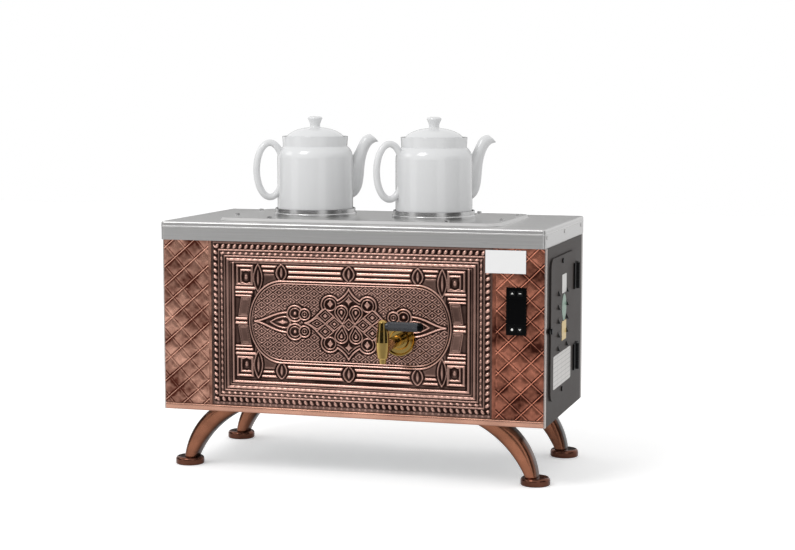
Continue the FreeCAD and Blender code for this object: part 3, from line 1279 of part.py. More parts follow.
def make_hinges():
    """Two hinges: fixed leaves with outer knuckles, door leaves with the middle knuckle, pins."""
    fixed, moving, pins = [], [], []
    third = "(hinge_height / 3)"
    for name, middle in (("upper", "hinge_upper"), ("lower", "hinge_lower")):
        low = "(%s - hinge_height / 2)" % middle
        high = "(%s + hinge_height / 2)" % middle
        pin_hole = rod(name + "_pin_hole", "z", ("hinge_across", "hinge_depth", low),
                       "hinge_height", "pin_radius + pin_gap")
        plate = block(name + "_fixed_plate", HALF, "hinge_across - leaf_gap",
                      "hinge_depth + knuckle_radius + knuckle_gap",
                      "hinge_depth + knuckle_radius + leaf_reach", low, high)
        parts = [plate]
        for end, start in (("low", low), ("high", "%s - %s + knuckle_gap / 2" % (high, third))):
            length = "%s - knuckle_gap / 2" % third
            parts.append(rod("%s_fixed_knuckle_%s" % (name, end), "z",
                             ("hinge_across", "hinge_depth", start), length, "knuckle_radius"))
            parts.append(block("%s_fixed_web_%s" % (name, end), "hinge_across - knuckle_radius",
                               "hinge_across - leaf_gap", "hinge_depth",
                               "hinge_depth + knuckle_radius + web_reach", start,
                               "%s + %s" % (start, length)))
        fixed.append(cut(name + "_fixed_cut", union(name + "_fixed", parts), [pin_hole]))
        leaf = block(name + "_door_plate", DOOR_FACE, DOOR_FACE + " + leaf_gauge",
                     "hinge_depth - leaf_reach", "hinge_depth - knuckle_radius - knuckle_gap",
                     low, high)
        web = block(name + "_door_web", DOOR_FACE, DOOR_FACE + " + leaf_gauge",
                    "hinge_depth - leaf_reach", "hinge_depth",
                    "%s + %s + knuckle_gap / 2" % (low, third),
                    "%s - %s - knuckle_gap / 2" % (high, third))
        knuckle = rod(name + "_door_knuckle", "z",
                      ("hinge_across", "hinge_depth", "%s + %s + knuckle_gap / 2" % (low, third)),
                      "%s - knuckle_gap" % third, "knuckle_radius")
        moving.append(cut(name + "_moving_cut", union(name + "_moving", [leaf, web, knuckle]),
                          [pin_hole]))
        pins.append(rod(name + "_pin", "z", ("hinge_across", "hinge_depth", low), "hinge_height",
                        "pin_radius"))
    piece(group("fixed_leaf_group", fixed), "hinge_fixed_leaves")
    piece(group("door_leaf_group", moving), "hinge_door_leaves")
    piece(group("pin_group", pins), "hinge_pins")


def make_door_trim():
    labels = []
    for name, front, back, low, high in (
            ("white", "-strip_front", "-strip_back", "strip_white", "strip_high"),
            ("green", "-strip_front", "-strip_back", "strip_green + label_gap",
             "strip_white - label_gap"),
            ("yellow", "-strip_front", "-strip_back", "strip_low", "strip_green"),
            ("data", "-data_front", "data_back", "data_low", "data_high")):
        labels.append(block("label_" + name, DOOR_FACE, DOOR_FACE + " + label_gauge", front, back,
                            low, high))
    piece(group("label_group", labels), "door_labels")
    screws = [rod("door_screw_" + name, "x", (DOOR_FACE, "-screw_depth", up), "screw_rise",
                  "screw_radius") for name, up in (("high", "screw_high"), ("low", "screw_low"))]
    piece(group("screw_group", screws), "door_screws")
    knob = rod("latch_knob", "x", (HALF, "-latch_depth", "latch_up"), "latch_stand", "latch_radius")
    tongue = block("latch_tongue", DOOR_FACE + " + tongue_gap",
                   DOOR_FACE + " + tongue_gap + tongue_gauge", "-latch_depth - tongue_length",
                   "-latch_depth", "latch_up - tongue_width / 2", "latch_up + tongue_width / 2")
    piece(union("latch_union", [knob, tongue]), "door_latch")


make_front_frame()
for panel_side in SIDES:
    make_side_panel(panel_side)
make_back_panel()
make_base_pan()
make_legs()
make_foot_discs()
make_leg_bolts()
make_embossed_panel()
for strip_side in SIDES:
    make_diamond_strip(strip_side)
make_front_trim()
make_name_plate()
make_top_tray()
make_raised_plate()
make_plate_nuts()
make_tray_rivets()
make_pot_rings()
make_teapots()
make_lids()
make_water_tank()
make_tank_gasket()
make_insulation()
make_drain_plug()
make_heating_element()
make_probe()
make_divider()
make_electrics()
make_controller()
make_rosette()
make_tap_body()
make_tap_handle()
make_tap_fixing()
make_door()
make_hinges()
make_door_trim()
doc.recompute()

for item in doc.Objects:
    if "Invalid" in item.State or "Error" in item.State:
        raise ValueError(item.Name + " failed: " + ", ".join(item.State))
for label, item in pieces.items():
    if item.Shape.isNull() or not item.Shape.isValid():
        raise ValueError(label + " has no valid shape")

os.makedirs("parts", exist_ok=True)
whole = FreeCAD.BoundBox()
for label, item in pieces.items():
    item.Shape.exportStep("parts/%s.step" % label)
    whole.add(item.Shape.BoundBox)
print(len(pieces), "sub-parts,", sum(len(item.Shape.Solids) for item in pieces.values()), "solids")
print("reach", whole)
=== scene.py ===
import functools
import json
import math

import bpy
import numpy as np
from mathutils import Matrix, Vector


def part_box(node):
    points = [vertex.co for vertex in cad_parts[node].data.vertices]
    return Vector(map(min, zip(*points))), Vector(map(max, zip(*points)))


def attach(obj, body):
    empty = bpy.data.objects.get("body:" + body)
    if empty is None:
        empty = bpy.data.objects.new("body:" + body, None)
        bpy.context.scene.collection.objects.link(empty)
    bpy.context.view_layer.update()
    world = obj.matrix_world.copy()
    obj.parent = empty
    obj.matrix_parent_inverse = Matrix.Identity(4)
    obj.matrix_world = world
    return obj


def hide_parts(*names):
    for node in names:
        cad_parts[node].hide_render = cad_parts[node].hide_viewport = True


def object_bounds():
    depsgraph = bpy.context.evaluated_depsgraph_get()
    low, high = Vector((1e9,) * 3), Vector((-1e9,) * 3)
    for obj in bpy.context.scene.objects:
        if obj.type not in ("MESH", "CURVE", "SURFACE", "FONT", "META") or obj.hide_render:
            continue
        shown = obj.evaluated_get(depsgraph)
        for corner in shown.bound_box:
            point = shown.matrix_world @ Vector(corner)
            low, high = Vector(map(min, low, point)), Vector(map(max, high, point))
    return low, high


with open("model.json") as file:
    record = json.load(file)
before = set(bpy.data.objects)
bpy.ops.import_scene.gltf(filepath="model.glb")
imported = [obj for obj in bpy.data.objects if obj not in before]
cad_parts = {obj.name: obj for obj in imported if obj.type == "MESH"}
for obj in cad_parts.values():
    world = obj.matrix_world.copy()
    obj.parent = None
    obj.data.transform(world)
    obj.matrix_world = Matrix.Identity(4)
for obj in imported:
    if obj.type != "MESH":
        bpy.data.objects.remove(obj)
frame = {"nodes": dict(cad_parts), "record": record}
cad_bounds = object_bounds()

# %% [markdown]
# # A tea urn with an embossed copper front
#
# The real urn is a sheet-steel casing with a copper front on four bowed legs, and carries two
# porcelain teapots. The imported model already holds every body, joint and plain solid in its
# place. This script dresses it: first the camera and the finishes, then each piece that needs a
# finer surface than its solid has, and last the studio. Those surfaces could be sculpted by hand,
# but here they are worked out with numpy, so that every size is a value that can be changed.

MM = 0.001
FULL_TURN = 2 * math.pi
nodes = frame["nodes"]
low_corner, high_corner = (np.array(corner) for corner in cad_bounds)
print("frame:", len(nodes), "nodes, size in mm", np.round((high_corner - low_corner) / MM, 1))


def limits(node):
    """Lowest and highest corner of a solid, in millimetres."""
    return tuple(np.array(corner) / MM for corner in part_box(node))


def new_object(name, data):
    """Object of some data, linked to the scene."""
    thing = bpy.data.objects.new(name, data)
    bpy.context.scene.collection.objects.link(thing)
    return thing


# %% [markdown]
# ## Camera
#
# The urn is seen from the right and a little above, with a long lens. A camera could be pointed
# by eye. This one's place and turn were worked out from the urn's corners and feet, so that every
# piece falls where it should in the picture.

# %% Camera
CAMERA_PLACE = (0.88265, -2.8487, 0.6315)
LOOKS_DOWN, ROLL, LOOKS_LEFT = 5.97, -0.03, 16.393
FILM_WIDTH, LENS = 36, 82.29
camera_data = bpy.data.cameras.new("studio_camera")
camera_data.sensor_width = FILM_WIDTH
camera_data.lens = LENS
camera = new_object("studio_camera", camera_data)
camera.location = CAMERA_PLACE
camera.rotation_euler = [math.radians(angle) for angle in (90 - LOOKS_DOWN, ROLL, LOOKS_LEFT)]
bpy.context.scene.camera = camera
bpy.context.scene.view_settings.view_transform = "Standard"
print("camera at", [round(value, 3) for value in camera.location])

# %% [markdown]
# ## Building materials from nodes
#
# A material is a small graph of nodes. It could be drawn in the shader editor, but written down
# it can be read and repeated. A few helpers keep it short: one adds a node and wires its sockets,
# one makes a Principled material with its constants on the shader itself, and one makes a node
# group with named sockets.


# %% Node helpers
def wire(tree, socket, value):
    """Link a socket from another node's output, or set its constant."""
    if isinstance(value, bpy.types.NodeSocket):
        tree.links.new(value, socket)
    else:
        socket.default_value = value


def add(tree, kind, *in_order, **by_name):
    """New node. Values in order go to its sockets from the top. A value by name goes to the
    socket of that name, with _ for a space, or else to the node's own setting."""
    node = tree.nodes.new("ShaderNode" + kind)
    for name, value in by_name.items():
        socket = node.inputs.get(name.replace("_", " "))
        if socket is None:
            setattr(node, name, value)
        else:
            wire(tree, socket, value)
    for socket, value in zip(node.inputs, in_order):
        wire(tree, socket, value)
    return node


print("helpers for nodes:", wire.__name__, "and", add.__name__)


# %% Material helpers
def finish_named(name, **constants):
    """Material with one Principled shader, its constants, and a way to link its sockets."""
    material = bpy.data.materials.new(name)
    material.use_nodes = True
    tree = material.node_tree
    shader = tree.nodes["Principled BSDF"]
    for socket, value in constants.items():
        shader.inputs[socket.replace("_", " ")].default_value = value
    material.diffuse_color = shader.inputs["Base Color"].default_value
    return material, tree, shader


def object_place(tree, scale=(1, 1, 1)):
    """Object coordinates through a Mapping node."""
    place = add(tree, "TexCoord").outputs["Object"]
    return add(tree, "Mapping", Vector=place, Scale=scale).outputs["Vector"]


def bump(tree, shader, height, depth, strength):
    """Height in 0..1 through a Bump node of a real depth into the shader's Normal."""
    node = add(tree, "Bump", Height=height, Distance=depth, Strength=strength)
    tree.links.new(node.outputs["Normal"], shader.inputs["Normal"])


def cover(tree, shader, effect, height, depth, strength):
    """An effect's colour and roughness, and a bump, into the shader."""
    tree.links.new(effect.outputs["Color"], shader.inputs["Base Color"])
    tree.links.new(effect.outputs["Roughness"], shader.inputs["Roughness"])
    bump(tree, shader, height, depth, strength)


print("helpers for materials:", finish_named.__name__, "and", cover.__name__)


# %% Group helpers
def new_group(name, inputs, outputs):
    """Node group with sockets given as (name, kind, default), and outputs as (name, kind)."""
    tree = bpy.data.node_groups.new(name, "ShaderNodeTree")
    for label, kind, value in inputs:
        socket = tree.interface.new_socket(label, in_out="INPUT", socket_type="NodeSocket" + kind)
        if value is not None:
            socket.default_value = value
    for label, kind in outputs:
        tree.interface.new_socket(label, in_out="OUTPUT", socket_type="NodeSocket" + kind)
    start = tree.nodes.new("NodeGroupInput").outputs
    end = tree.nodes.new("NodeGroupOutput").inputs
    return tree, start, end


def put_out(tree, end, **results):
    """A group's results into its named outputs."""
    for name, result in results.items():
        tree.links.new(result, end[name])


print("helpers for groups:", new_group.__name__, "and", put_out.__name__)

# %% [markdown]
# ## Shared effects
#
# Three effects come back in many finishes: metal that is bright where it is rubbed and dark where
# it isn't, fine drawn lines as a rolling mill leaves them, and the fine grain of paint or moulded
# plastic. Each could be copied into every material. As a node group it is built once, and every
# material gives it its own values.

# %% Tarnish group
tarnish, start, end = new_group(
    "tarnish",
    [("Place", "Vector", None), ("Rubbed", "Float", 0.5), ("Bright", "Color", (1, 1, 1, 1)),
     ("Dark", "Color", (0, 0, 0, 1)), ("Clouds", "Float", 12.0), ("Spread", "Float", 0.3),
     ("Smooth", "Float", 0.25), ("Rough", "Float", 0.5)],
    [("Color", "Color"), ("Roughness", "Float")])
clouds = add(tarnish, "TexNoise", Vector=start["Place"], Scale=start["Clouds"], Detail=6.0,
             Roughness=0.62)
centred = add(tarnish, "Math", clouds.outputs["Fac"], 0.5, operation="SUBTRACT")
drift = add(tarnish, "Math", centred.outputs[0], start["Spread"], operation="MULTIPLY")
worn = add(tarnish, "Math", drift.outputs[0], start["Rubbed"], operation="ADD", use_clamp=True)
blend = add(tarnish, "MixRGB", worn.outputs[0], start["Dark"], start["Bright"])
shine = add(tarnish, "MapRange", Value=worn.outputs[0], To_Min=start["Rough"],
            To_Max=start["Smooth"])
put_out(tarnish, end, Color=blend.outputs[0], Roughness=shine.outputs["Result"])
print("tarnish:", len(tarnish.nodes), "nodes")

# %% Drawn lines group
drawn, start, end = new_group(
    "drawn_lines",
    [("Place", "Vector", None), ("Bright", "Color", (1, 1, 1, 1)), ("Dark", "Color", (0, 0, 0, 1)),
     ("Smooth", "Float", 0.25), ("Rough", "Float", 0.4)],
    [("Color", "Color"), ("Roughness", "Float"), ("Height", "Float")])
lines = add(drawn, "TexNoise", Vector=start["Place"], Scale=1.0, Detail=4.0, Roughness=0.7)
tone = add(drawn, "MapRange", Value=lines.outputs["Fac"], From_Min=0.25, From_Max=0.75)
tone = tone.outputs["Result"]
blend = add(drawn, "MixRGB", tone, start["Dark"], start["Bright"])
shine = add(drawn, "MapRange", Value=tone, To_Min=start["Rough"], To_Max=start["Smooth"])
put_out(drawn, end, Color=blend.outputs[0], Roughness=shine.outputs["Result"], Height=tone)
print("drawn lines:", len(drawn.nodes), "nodes")

# %% Fine grain group
grain, start, end = new_group(
    "fine_grain",
    [("Place", "Vector", None), ("Color", "Color", (0.5, 0.5, 0.5, 1)), ("Size", "Float", 1500.0),
     ("Change", "Float", 0.12), ("Smooth", "Float", 0.3), ("Rough", "Float", 0.45)],
    [("Color", "Color"), ("Roughness", "Float"), ("Height", "Float")])
grains = add(grain, "TexNoise", Vector=start["Place"], Scale=start["Size"], Detail=2.0)
smears = add(grain, "TexNoise", Vector=start["Place"], Scale=9.0, Detail=5.0)
both = add(grain, "Math", grains.outputs["Fac"], smears.outputs["Fac"], operation="ADD")
lift = add(grain, "Math", both.outputs[0], 1.0, operation="SUBTRACT")
amount = add(grain, "Math", lift.outputs[0], start["Change"], 1.0, operation="MULTIPLY_ADD")
shade = add(grain, "HueSaturation", Color=start["Color"], Value=amount.outputs[0])
shine = add(grain, "MapRange", Value=smears.outputs["Fac"], To_Min=start["Smooth"],
            To_Max=start["Rough"])
put_out(grain, end, Color=shade.outputs["Color"], Roughness=shine.outputs["Result"],
        Height=grains.outputs["Fac"])
print("fine grain:", len(grain.nodes), "nodes")

# %% [markdown]
# ## Metals
#
# The copper sheet is antiqued: blackened, then rubbed, so that only its raised parts shine. That
# could be painted by hand. Here the relief pieces carry an attribute named rubbed, worked out
# from their own height, and the tarnish group turns it into colour and gloss. On the embossed
# sheet that attribute also holds a painted light from above. Polished metals use the same group
# with one value all over.

# %% Copper finishes
COPPER_BRIGHT = (0.80, 0.48, 0.395, 1)
COPPER_DARK = (0.016, 0.005, 0.0035, 1)
HAMMER_MARKS = {"scale": 900.0, "detail": 3.0, "depth": 0.00012, "strength": 0.5}


def tarnished(name, metallic, rubbed, marks, **look):
    """Metal with clouds of tarnish and fine marks. rubbed is a number, or None to read the
    piece's attribute."""
    material, tree, shader = finish_named(name, Metallic=metallic)
    place = object_place(tree)
    if rubbed is None:
        rubbed = add(tree, "Attribute", attribute_name="rubbed").outputs["Fac"]
    effect = add(tree, "Group", node_tree=tarnish, Place=place, Rubbed=rubbed, **look)
    noise = add(tree, "TexNoise", Vector=place, Scale=marks["scale"], Detail=marks["detail"])
    cover(tree, shader, effect, noise.outputs["Fac"], marks["depth"], marks["strength"])
    return material


def copper(name, bright=COPPER_BRIGHT, dark=COPPER_DARK, spread=0.35, clouds=14.0, smooth=0.18,
           rough=0.34, rubbed=None):
    """Antiqued copper with hammer marks."""
    return tarnished(name, 0.9, rubbed, HAMMER_MARKS, Bright=bright, Dark=dark, Clouds=clouds,
                     Spread=spread, Smooth=smooth, Rough=rough)


embossed_copper = copper("embossed_copper", smooth=0.2, rough=0.38)
# Painted shadow: the seams' copper is kept nearly black for the shaded channel between sheets.
seam_shadow_copper = copper("seam_shadow_copper", rubbed=0.12, spread=0.3, smooth=0.2, rough=0.38)
diamond_copper = copper("diamond_copper", (0.98, 0.54, 0.40, 1), (0.08, 0.018, 0.010, 1),
                        spread=1.8, clouds=24.0)
red_copper = copper("red_copper", (0.82, 0.31, 0.20, 1), (0.04, 0.008, 0.004, 1), spread=1.6,
                    clouds=24.0)
band_copper = copper("band_copper", (0.80, 0.44, 0.32, 1), (0.06, 0.018, 0.01, 1), spread=0.6)
leg_copper = copper("leg_copper", (0.60, 0.245, 0.14, 1), (0.012, 0.004, 0.002, 1), spread=1.0,
                    clouds=9.0, smooth=0.14, rough=0.26)
foot_copper = copper("foot_copper", (0.24, 0.095, 0.06, 1), (0.03, 0.010, 0.005, 1), rubbed=0.5,
                     spread=0.6, clouds=30.0, smooth=0.1, rough=0.2)
print("materials after the coppers:", len(bpy.data.materials))

# %% [markdown]
# Brass mirrors the dark room in front of it where it faces the eye, and the light room beside it
# towards its edges. A small studio can't show that, so Layer Weight paints that reflection into
# its colour: darker where it faces the eye and lighter at its edges. The steels are drawn: their
# lines come from noise that is stretched far one way.

# %% Drawn and polished metals
POLISH_MARKS = {"scale": 700.0, "detail": 2.0, "depth": 0.00002, "strength": 0.4}
BRASS_MARKS = dict(POLISH_MARKS, depth=0.00001)
LINE_DEPTH, LINE_STRENGTH = 0.00004, 0.6
LINES_ALONG_X, LINES_ALONG_Z, LINES_AROUND = (6, 500, 500), (500, 500, 8), (8, 8, 400)
# The second pair scales the brass's colour from facing to edges: a painted reflection.
FACING_SPAN, FACING_PAINTED_REFLECTION = (0.06, 0.7), (0.5, 1.75)


def polished(name, bright, dark, smooth, rough, clouds=25.0, spread=0.4, rubbed=0.7,
             marks=POLISH_MARKS):
    """Polished metal with faint clouds of tarnish."""
    return tarnished(name, 1.0, rubbed, marks, Bright=bright, Dark=dark, Clouds=clouds,
                     Spread=spread, Smooth=smooth, Rough=rough)


def drawn_metal(name, bright, dark, scale, smooth=0.3, rough=0.42):
    """Metal with fine parallel lines; scale is small along the lines and large across them."""
    material, tree, shader = finish_named(name, Metallic=1.0)
    effect = add(tree, "Group", node_tree=drawn, Place=object_place(tree, scale), Bright=bright,
                 Dark=dark, Smooth=smooth, Rough=rough)
    cover(tree, shader, effect, effect.outputs["Height"], LINE_DEPTH, LINE_STRENGTH)
    return material


def paint_reflection_by_angle(material, span, gloss):
    """Paint a reflection into a metal's colour: scale it by the first factor where it faces the eye
    and by the second at its edges.
    """
    tree = material.node_tree
    color = tree.nodes["Principled BSDF"].inputs["Base Color"]
    facing = add(tree, "LayerWeight", Blend=0.5).outputs["Facing"]
    factor = add(tree, "MapRange", Value=facing, From_Min=span[0], From_Max=span[1],
                 To_Min=gloss[0], To_Max=gloss[1]).outputs["Result"]
    scaled = add(tree, "MixRGB", 1.0, color.links[0].from_socket, factor, blend_type="MULTIPLY")
    tree.links.new(scaled.outputs[0], color)


tray_steel = drawn_metal("tray_steel", (0.62, 0.615, 0.61, 1), (0.47, 0.465, 0.46, 1),
                         LINES_ALONG_X, smooth=0.26, rough=0.38)
casing_steel = drawn_metal("casing_steel", (0.46, 0.44, 0.42, 1), (0.34, 0.32, 0.31, 1),
                           LINES_ALONG_Z)
frame_steel = drawn_metal("frame_steel", (0.60, 0.54, 0.51, 1), (0.44, 0.39, 0.37, 1),
                          LINES_ALONG_Z)
tank_steel = drawn_metal("tank_steel", (0.64, 0.64, 0.64, 1), (0.52, 0.52, 0.52, 1),
                         LINES_AROUND, rough=0.5)
chrome = polished("chrome", (0.62, 0.62, 0.62, 1), (0.45, 0.45, 0.45, 1), 0.22, 0.30)
brass = polished("brass", (0.55, 0.39, 0.13, 1), (0.20, 0.11, 0.025, 1), 0.07, 0.16,
                 marks=BRASS_MARKS)
# Painted reflection: the brass is darker where it faces the eye and lighter at its edges.
paint_reflection_by_angle(brass, FACING_SPAN, FACING_PAINTED_REFLECTION)
galvanised = polished("galvanised", (0.62, 0.64, 0.65, 1), (0.45, 0.47, 0.48, 1), 0.4, 0.55,
                      clouds=70.0, spread=1.4, rubbed=0.5)
print("materials after the polished and drawn metals:", len(bpy.data.materials))

# %% [markdown]
# ## Paints, plastics and porcelain
#
# None of these is one flat colour on the real urn: paint has a fine orange peel, plastic the
# grain of its mould, and glaze a slow wave. One function makes them all from the grain group. The
# data plate's film also has an empty printed table, which a Brick node rules.


# %% Grained finishes
def grained(name, color, size=1500.0, change=0.12, smooth=0.3, rough=0.45, depth=0.00005,
            strength=0.5, **constants):
    """Non-metal with a fine grain in colour and height."""
    material, tree, shader = finish_named(name, **constants)
    effect = add(tree, "Group", node_tree=grain, Place=object_place(tree), Color=color, Size=size,
                 Change=change, Smooth=smooth, Rough=rough)
    cover(tree, shader, effect, effect.outputs["Height"], depth, strength)
    return material


side_paint = grained("side_paint", (0.037, 0.029, 0.026, 1), size=1100.0, change=0.5,
                     smooth=0.4, rough=0.55, depth=0.0001, Specular_IOR_Level=0.12)
black_plastic = grained("black_plastic", (0.004, 0.004, 0.0045, 1), smooth=0.32, rough=0.5,
                        Specular_IOR_Level=0.1)
black_gloss = grained("black_gloss", (0.0012, 0.0012, 0.0014, 1), smooth=0.08, rough=0.16,
                      depth=0.00001, Specular_IOR_Level=0.05)
dark_window = grained("dark_window", (0.0008, 0.0008, 0.001, 1), smooth=0.04, rough=0.09,
                      depth=0.000005, Specular_IOR_Level=0.04)
white_plastic = grained("white_plastic", (0.80, 0.80, 0.77, 1), change=0.06)
rubber = grained("rubber", (0.012, 0.012, 0.012, 1), size=900.0, smooth=0.55, rough=0.75)
lever_plastic = grained("lever_plastic", (0.014, 0.017, 0.023, 1), size=1400.0, change=0.4,
                        smooth=0.2, rough=0.28, depth=0.0001, strength=0.6)
insulation = grained("insulation", (0.62, 0.60, 0.52, 1), size=300.0, change=0.5, smooth=0.7,
                     rough=0.95, depth=0.0008)
plate_white = grained("plate_white", (0.80, 0.80, 0.80, 1), change=0.04, smooth=0.2, rough=0.3)
porcelain = grained("porcelain", (0.68, 0.685, 0.69, 1), size=60.0, change=0.02, smooth=0.08,
                    rough=0.16, depth=0.00008, strength=0.3, IOR=1.52)
label_film = grained("label_film", (0.62, 0.61, 0.59, 1), change=0.05, smooth=0.25, rough=0.4)
green_film = grained("green_film", (0.16, 0.27, 0.20, 1), change=0.08, smooth=0.25, rough=0.4)
yellow_film = grained("yellow_film", (0.62, 0.44, 0.14, 1), change=0.06, smooth=0.25, rough=0.4)
print("materials after the grained ones:", len(bpy.data.materials))


# %% Ruled film
TABLE_CELL, TABLE_LINE, INK_DEPTH = (0.034, 0.0072), 0.0005, 0.00002


def ruled(name, color, ink):
    """Film with a printed empty table: thin lines between cells, read from Y and Z in metres."""
    material, tree, shader = finish_named(name, Roughness=0.4)
    axes = add(tree, "SeparateXYZ", Vector=add(tree, "TexCoord").outputs["Object"]).outputs
    flat = add(tree, "CombineXYZ", X=axes["Y"], Y=axes["Z"])
    cells = add(tree, "TexBrick", Vector=flat.outputs["Vector"], Color1=color, Color2=color,
                Mortar=ink, Scale=1.0, Mortar_Size=TABLE_LINE, Brick_Width=TABLE_CELL[0],
                Row_Height=TABLE_CELL[1], offset=0.0)
    tree.links.new(cells.outputs["Color"], shader.inputs["Base Color"])
    bump(tree, shader, cells.outputs["Fac"], INK_DEPTH, 0.3)
    return material


plate_film = ruled("plate_film", (0.60, 0.58, 0.56, 1), (0.36, 0.35, 0.34, 1))
print("materials in all:", len(bpy.data.materials))

# %% [markdown]
# ## Finishes for the plain solids
#
# Most solids have the right shape already, so they stay and only change their clothes: each takes
# the finish of its slot in the record. Three nodes look different from the rest of their slot.

# %% Slots to finishes
FINISH_OF = {
    "casing_steel": casing_steel, "side_paint": side_paint, "galvanised": galvanised,
    "copper": band_copper, "copper_paint": leg_copper, "blank_plate": plate_white,
    "tray_steel": tray_steel, "tank_steel": tank_steel, "chrome": chrome, "rubber": rubber,
    "brass": brass, "insulation": insulation, "black_plastic": black_plastic,
    "black_gloss": black_gloss, "dark_window": dark_window, "white_plastic": white_plastic,
    "lever_plastic": lever_plastic, "label": label_film, "porcelain": porcelain,
}
NODE_FINISH = {"front_frame": frame_steel, "foot_discs": foot_copper, "hinge_pins": black_plastic}
for part in frame["record"]["subparts"]:
    solid = nodes[part["node"]]
    solid.data.materials.clear()
    finish = NODE_FINISH.get(part["node"], FINISH_OF[part["material_slot"]])
    solid.data.materials.append(finish)

# %% [markdown]
# ## Surfaces from numpy
#
# The real sheets are pressed, so their relief is one height at each place. A Displace modifier
# could raise it, but a grid of points worked out as one array is exact, and its rim can get walls
# down to the back of the sheet, so that the piece is a closed solid. The shading normals come
# from the heights' own slopes, so neighbouring sheets meet with no seam.


# %% A piece from points and faces
def new_piece(name, points, faces, material, body, replaced=(), slot=None, smooth=True):
    """Object at the origin from points in millimetres and lists of corner numbers."""
    mesh = bpy.data.meshes.new(name)
    mesh.from_pydata((np.asarray(points) * MM).tolist(), [], faces)
    mesh.polygons.foreach_set("use_smooth", np.full(len(mesh.polygons), smooth))
    mesh.materials.append(material)
    mesh.update()
    piece = new_object(name, mesh)
    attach(piece, body)
    if replaced:
        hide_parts(*replaced)
    return piece


def set_rubbed(piece, first, rest):
    """Attribute named rubbed: first is for the first points, and rest for all others."""
    values = np.full(len(piece.data.vertices), rest, np.float32)
    values[:np.size(first)] = np.reshape(first, -1)
    piece.data.attributes.new("rubbed", "FLOAT", "POINT").data.foreach_set("value", values)


print("helpers for pieces:", new_piece.__name__, "and", set_rubbed.__name__)


# %% A closed sheet from a grid of heights
def rim(number):
    """The four sides of a grid of point numbers, counter-clockwise as seen from the front."""
    return [number[0], number[:, -1], number[-1, ::-1], number[::-1, 0]]


def front_quads(number, x, z, hole):
    """Quads of a grid without those in the hole, and the rims of the grid and of the hole."""
    quads = np.stack([number[:-1, :-1], number[:-1, 1:], number[1:, 1:], number[1:, :-1]], axis=-1)
    kept = np.ones(quads.shape[:2], bool)
    rims = [rim(number)]
    if hole:
        first_x, last_x = np.searchsorted(x, hole[:2])
        first_z, last_z = np.searchsorted(z, hole[2:])
        kept[first_z:last_z, first_x:last_x] = False
        rims.append(rim(number[first_z:last_z + 1, first_x:last_x + 1]))
    return quads[kept], rims


def walls_and_back(rims, behind):
    """Walls from each rim to its twin points behind, and the back: one face, or four where there
    is a hole."""
    faces = []
    for sides, way in zip(rims, (1, -1)):
        for side in sides:
            wall = np.stack([side[:-1], behind[side[:-1]], behind[side[1:]], side[1:]], axis=-1)
            faces += wall[:, ::way].tolist()
    if len(rims) == 1:
        back = [np.concatenate([behind[side[:-1]] for side in rims[0]])]
    else:
        back = [np.concatenate([behind[outer], behind[inner][::-1]]) for outer, inner in zip(*rims)]
    return faces + [face[::-1].tolist() for face in back]


def relief_sheet(name, x, z, front, back, rubbed, material, hole=None, **links):
    """Closed sheet whose front is y = front on the grid x by z, and whose back is y = back.
    Columns run along +X and rows along +Z, so faces turn to -Y. A normal of the front is
    (dy/dx, -1, dy/dz) over its length. hole is the way through: x from, x to, z from, z to."""
    grid_x, grid_z = np.meshgrid(x, z)
    number = np.arange(front.size).reshape(front.shape)
    quads, rims = front_quads(number, x, z, hole)
    edge = np.concatenate([side[:-1] for sides in rims for side in sides])
    behind = np.full(front.size, -1)
    behind[edge] = front.size + np.arange(len(edge))
    front_points = np.stack([grid_x, front, grid_z], axis=-1).reshape(-1, 3)
    back_points = front_points[edge].copy()
    back_points[:, 1] = back
    piece = new_piece(name, np.concatenate([front_points, back_points]),
                      quads.tolist() + walls_and_back(rims, behind), material, **links)

    slope_z, slope_x = np.gradient(front, z, x)
    normal = np.stack([slope_x, -np.ones_like(front), slope_z], axis=-1)
    normal /= np.linalg.norm(normal, axis=-1, keepdims=True)
    mesh = piece.data
    mesh.polygons.foreach_set("use_smooth", np.arange(len(mesh.polygons)) < len(quads))
    corners = np.zeros((len(mesh.loops), 3))
    corners[:quads.size] = normal.reshape(-1, 3)[quads.reshape(-1)]
    mesh.normals_split_custom_set(corners.tolist())
    set_rubbed(piece, rubbed, 0)


print("a 3 by 3 grid's rim:", [side.tolist() for side in rim(np.arange(9).reshape(3, 3))])

# %% [markdown]
# ## Profiles of pressed metal
#
# The front sheets are described by their height over the hollows, 0 to 1, as a function of place.
# Every form on them could be drawn as a curve and pushed out. A formula for the height is
# shorter: a soft step, a half-round roll, and distances to lines, boxes, drops and rings make
# everything. Where two forms meet, the higher one wins, as it does in a press.


# %% Profiles
def highest(*forms):
    """The highest of several heights at each place."""
    return functools.reduce(np.maximum, forms)


def step(start, stop, value):
    """0 before start, 1 after stop, and 3 s^2 - 2 s^3 between."""
    share = np.clip((value - start) / (stop - start), 0, 1)
    return share * share * (3 - 2 * share)


def roll(distance, half):
    """Rounded ridge of height 1: 1 - (distance / half)^2."""
    return np.clip(1 - (distance / half) ** 2, 0, 1)


def ridge(distance, half, rise):
    """Roll of a given height."""
    return roll(distance, half) * rise


def dab(right, up, halves):
    """Oval bead of height 1: a roll of the distance (right / half, up / half)."""
    return roll(np.hypot(right / halves[0], up / halves[1]), 1)


def lens(aside, along, halves):
    """1 in the middle and 0 on the edge of a pointed lens: 1 - |aside / half| - (along / half)^2."""
    return 1 - np.abs(aside) / halves[0] - (along / halves[1]) ** 2


def leaf(share):
    """Leaf with a raised rim and a raised middle: half of 1 + cos, as share runs from 0 to 1."""
    return np.where(share > 0, 0.5 + 0.5 * np.cos(FULL_TURN * share), 0)


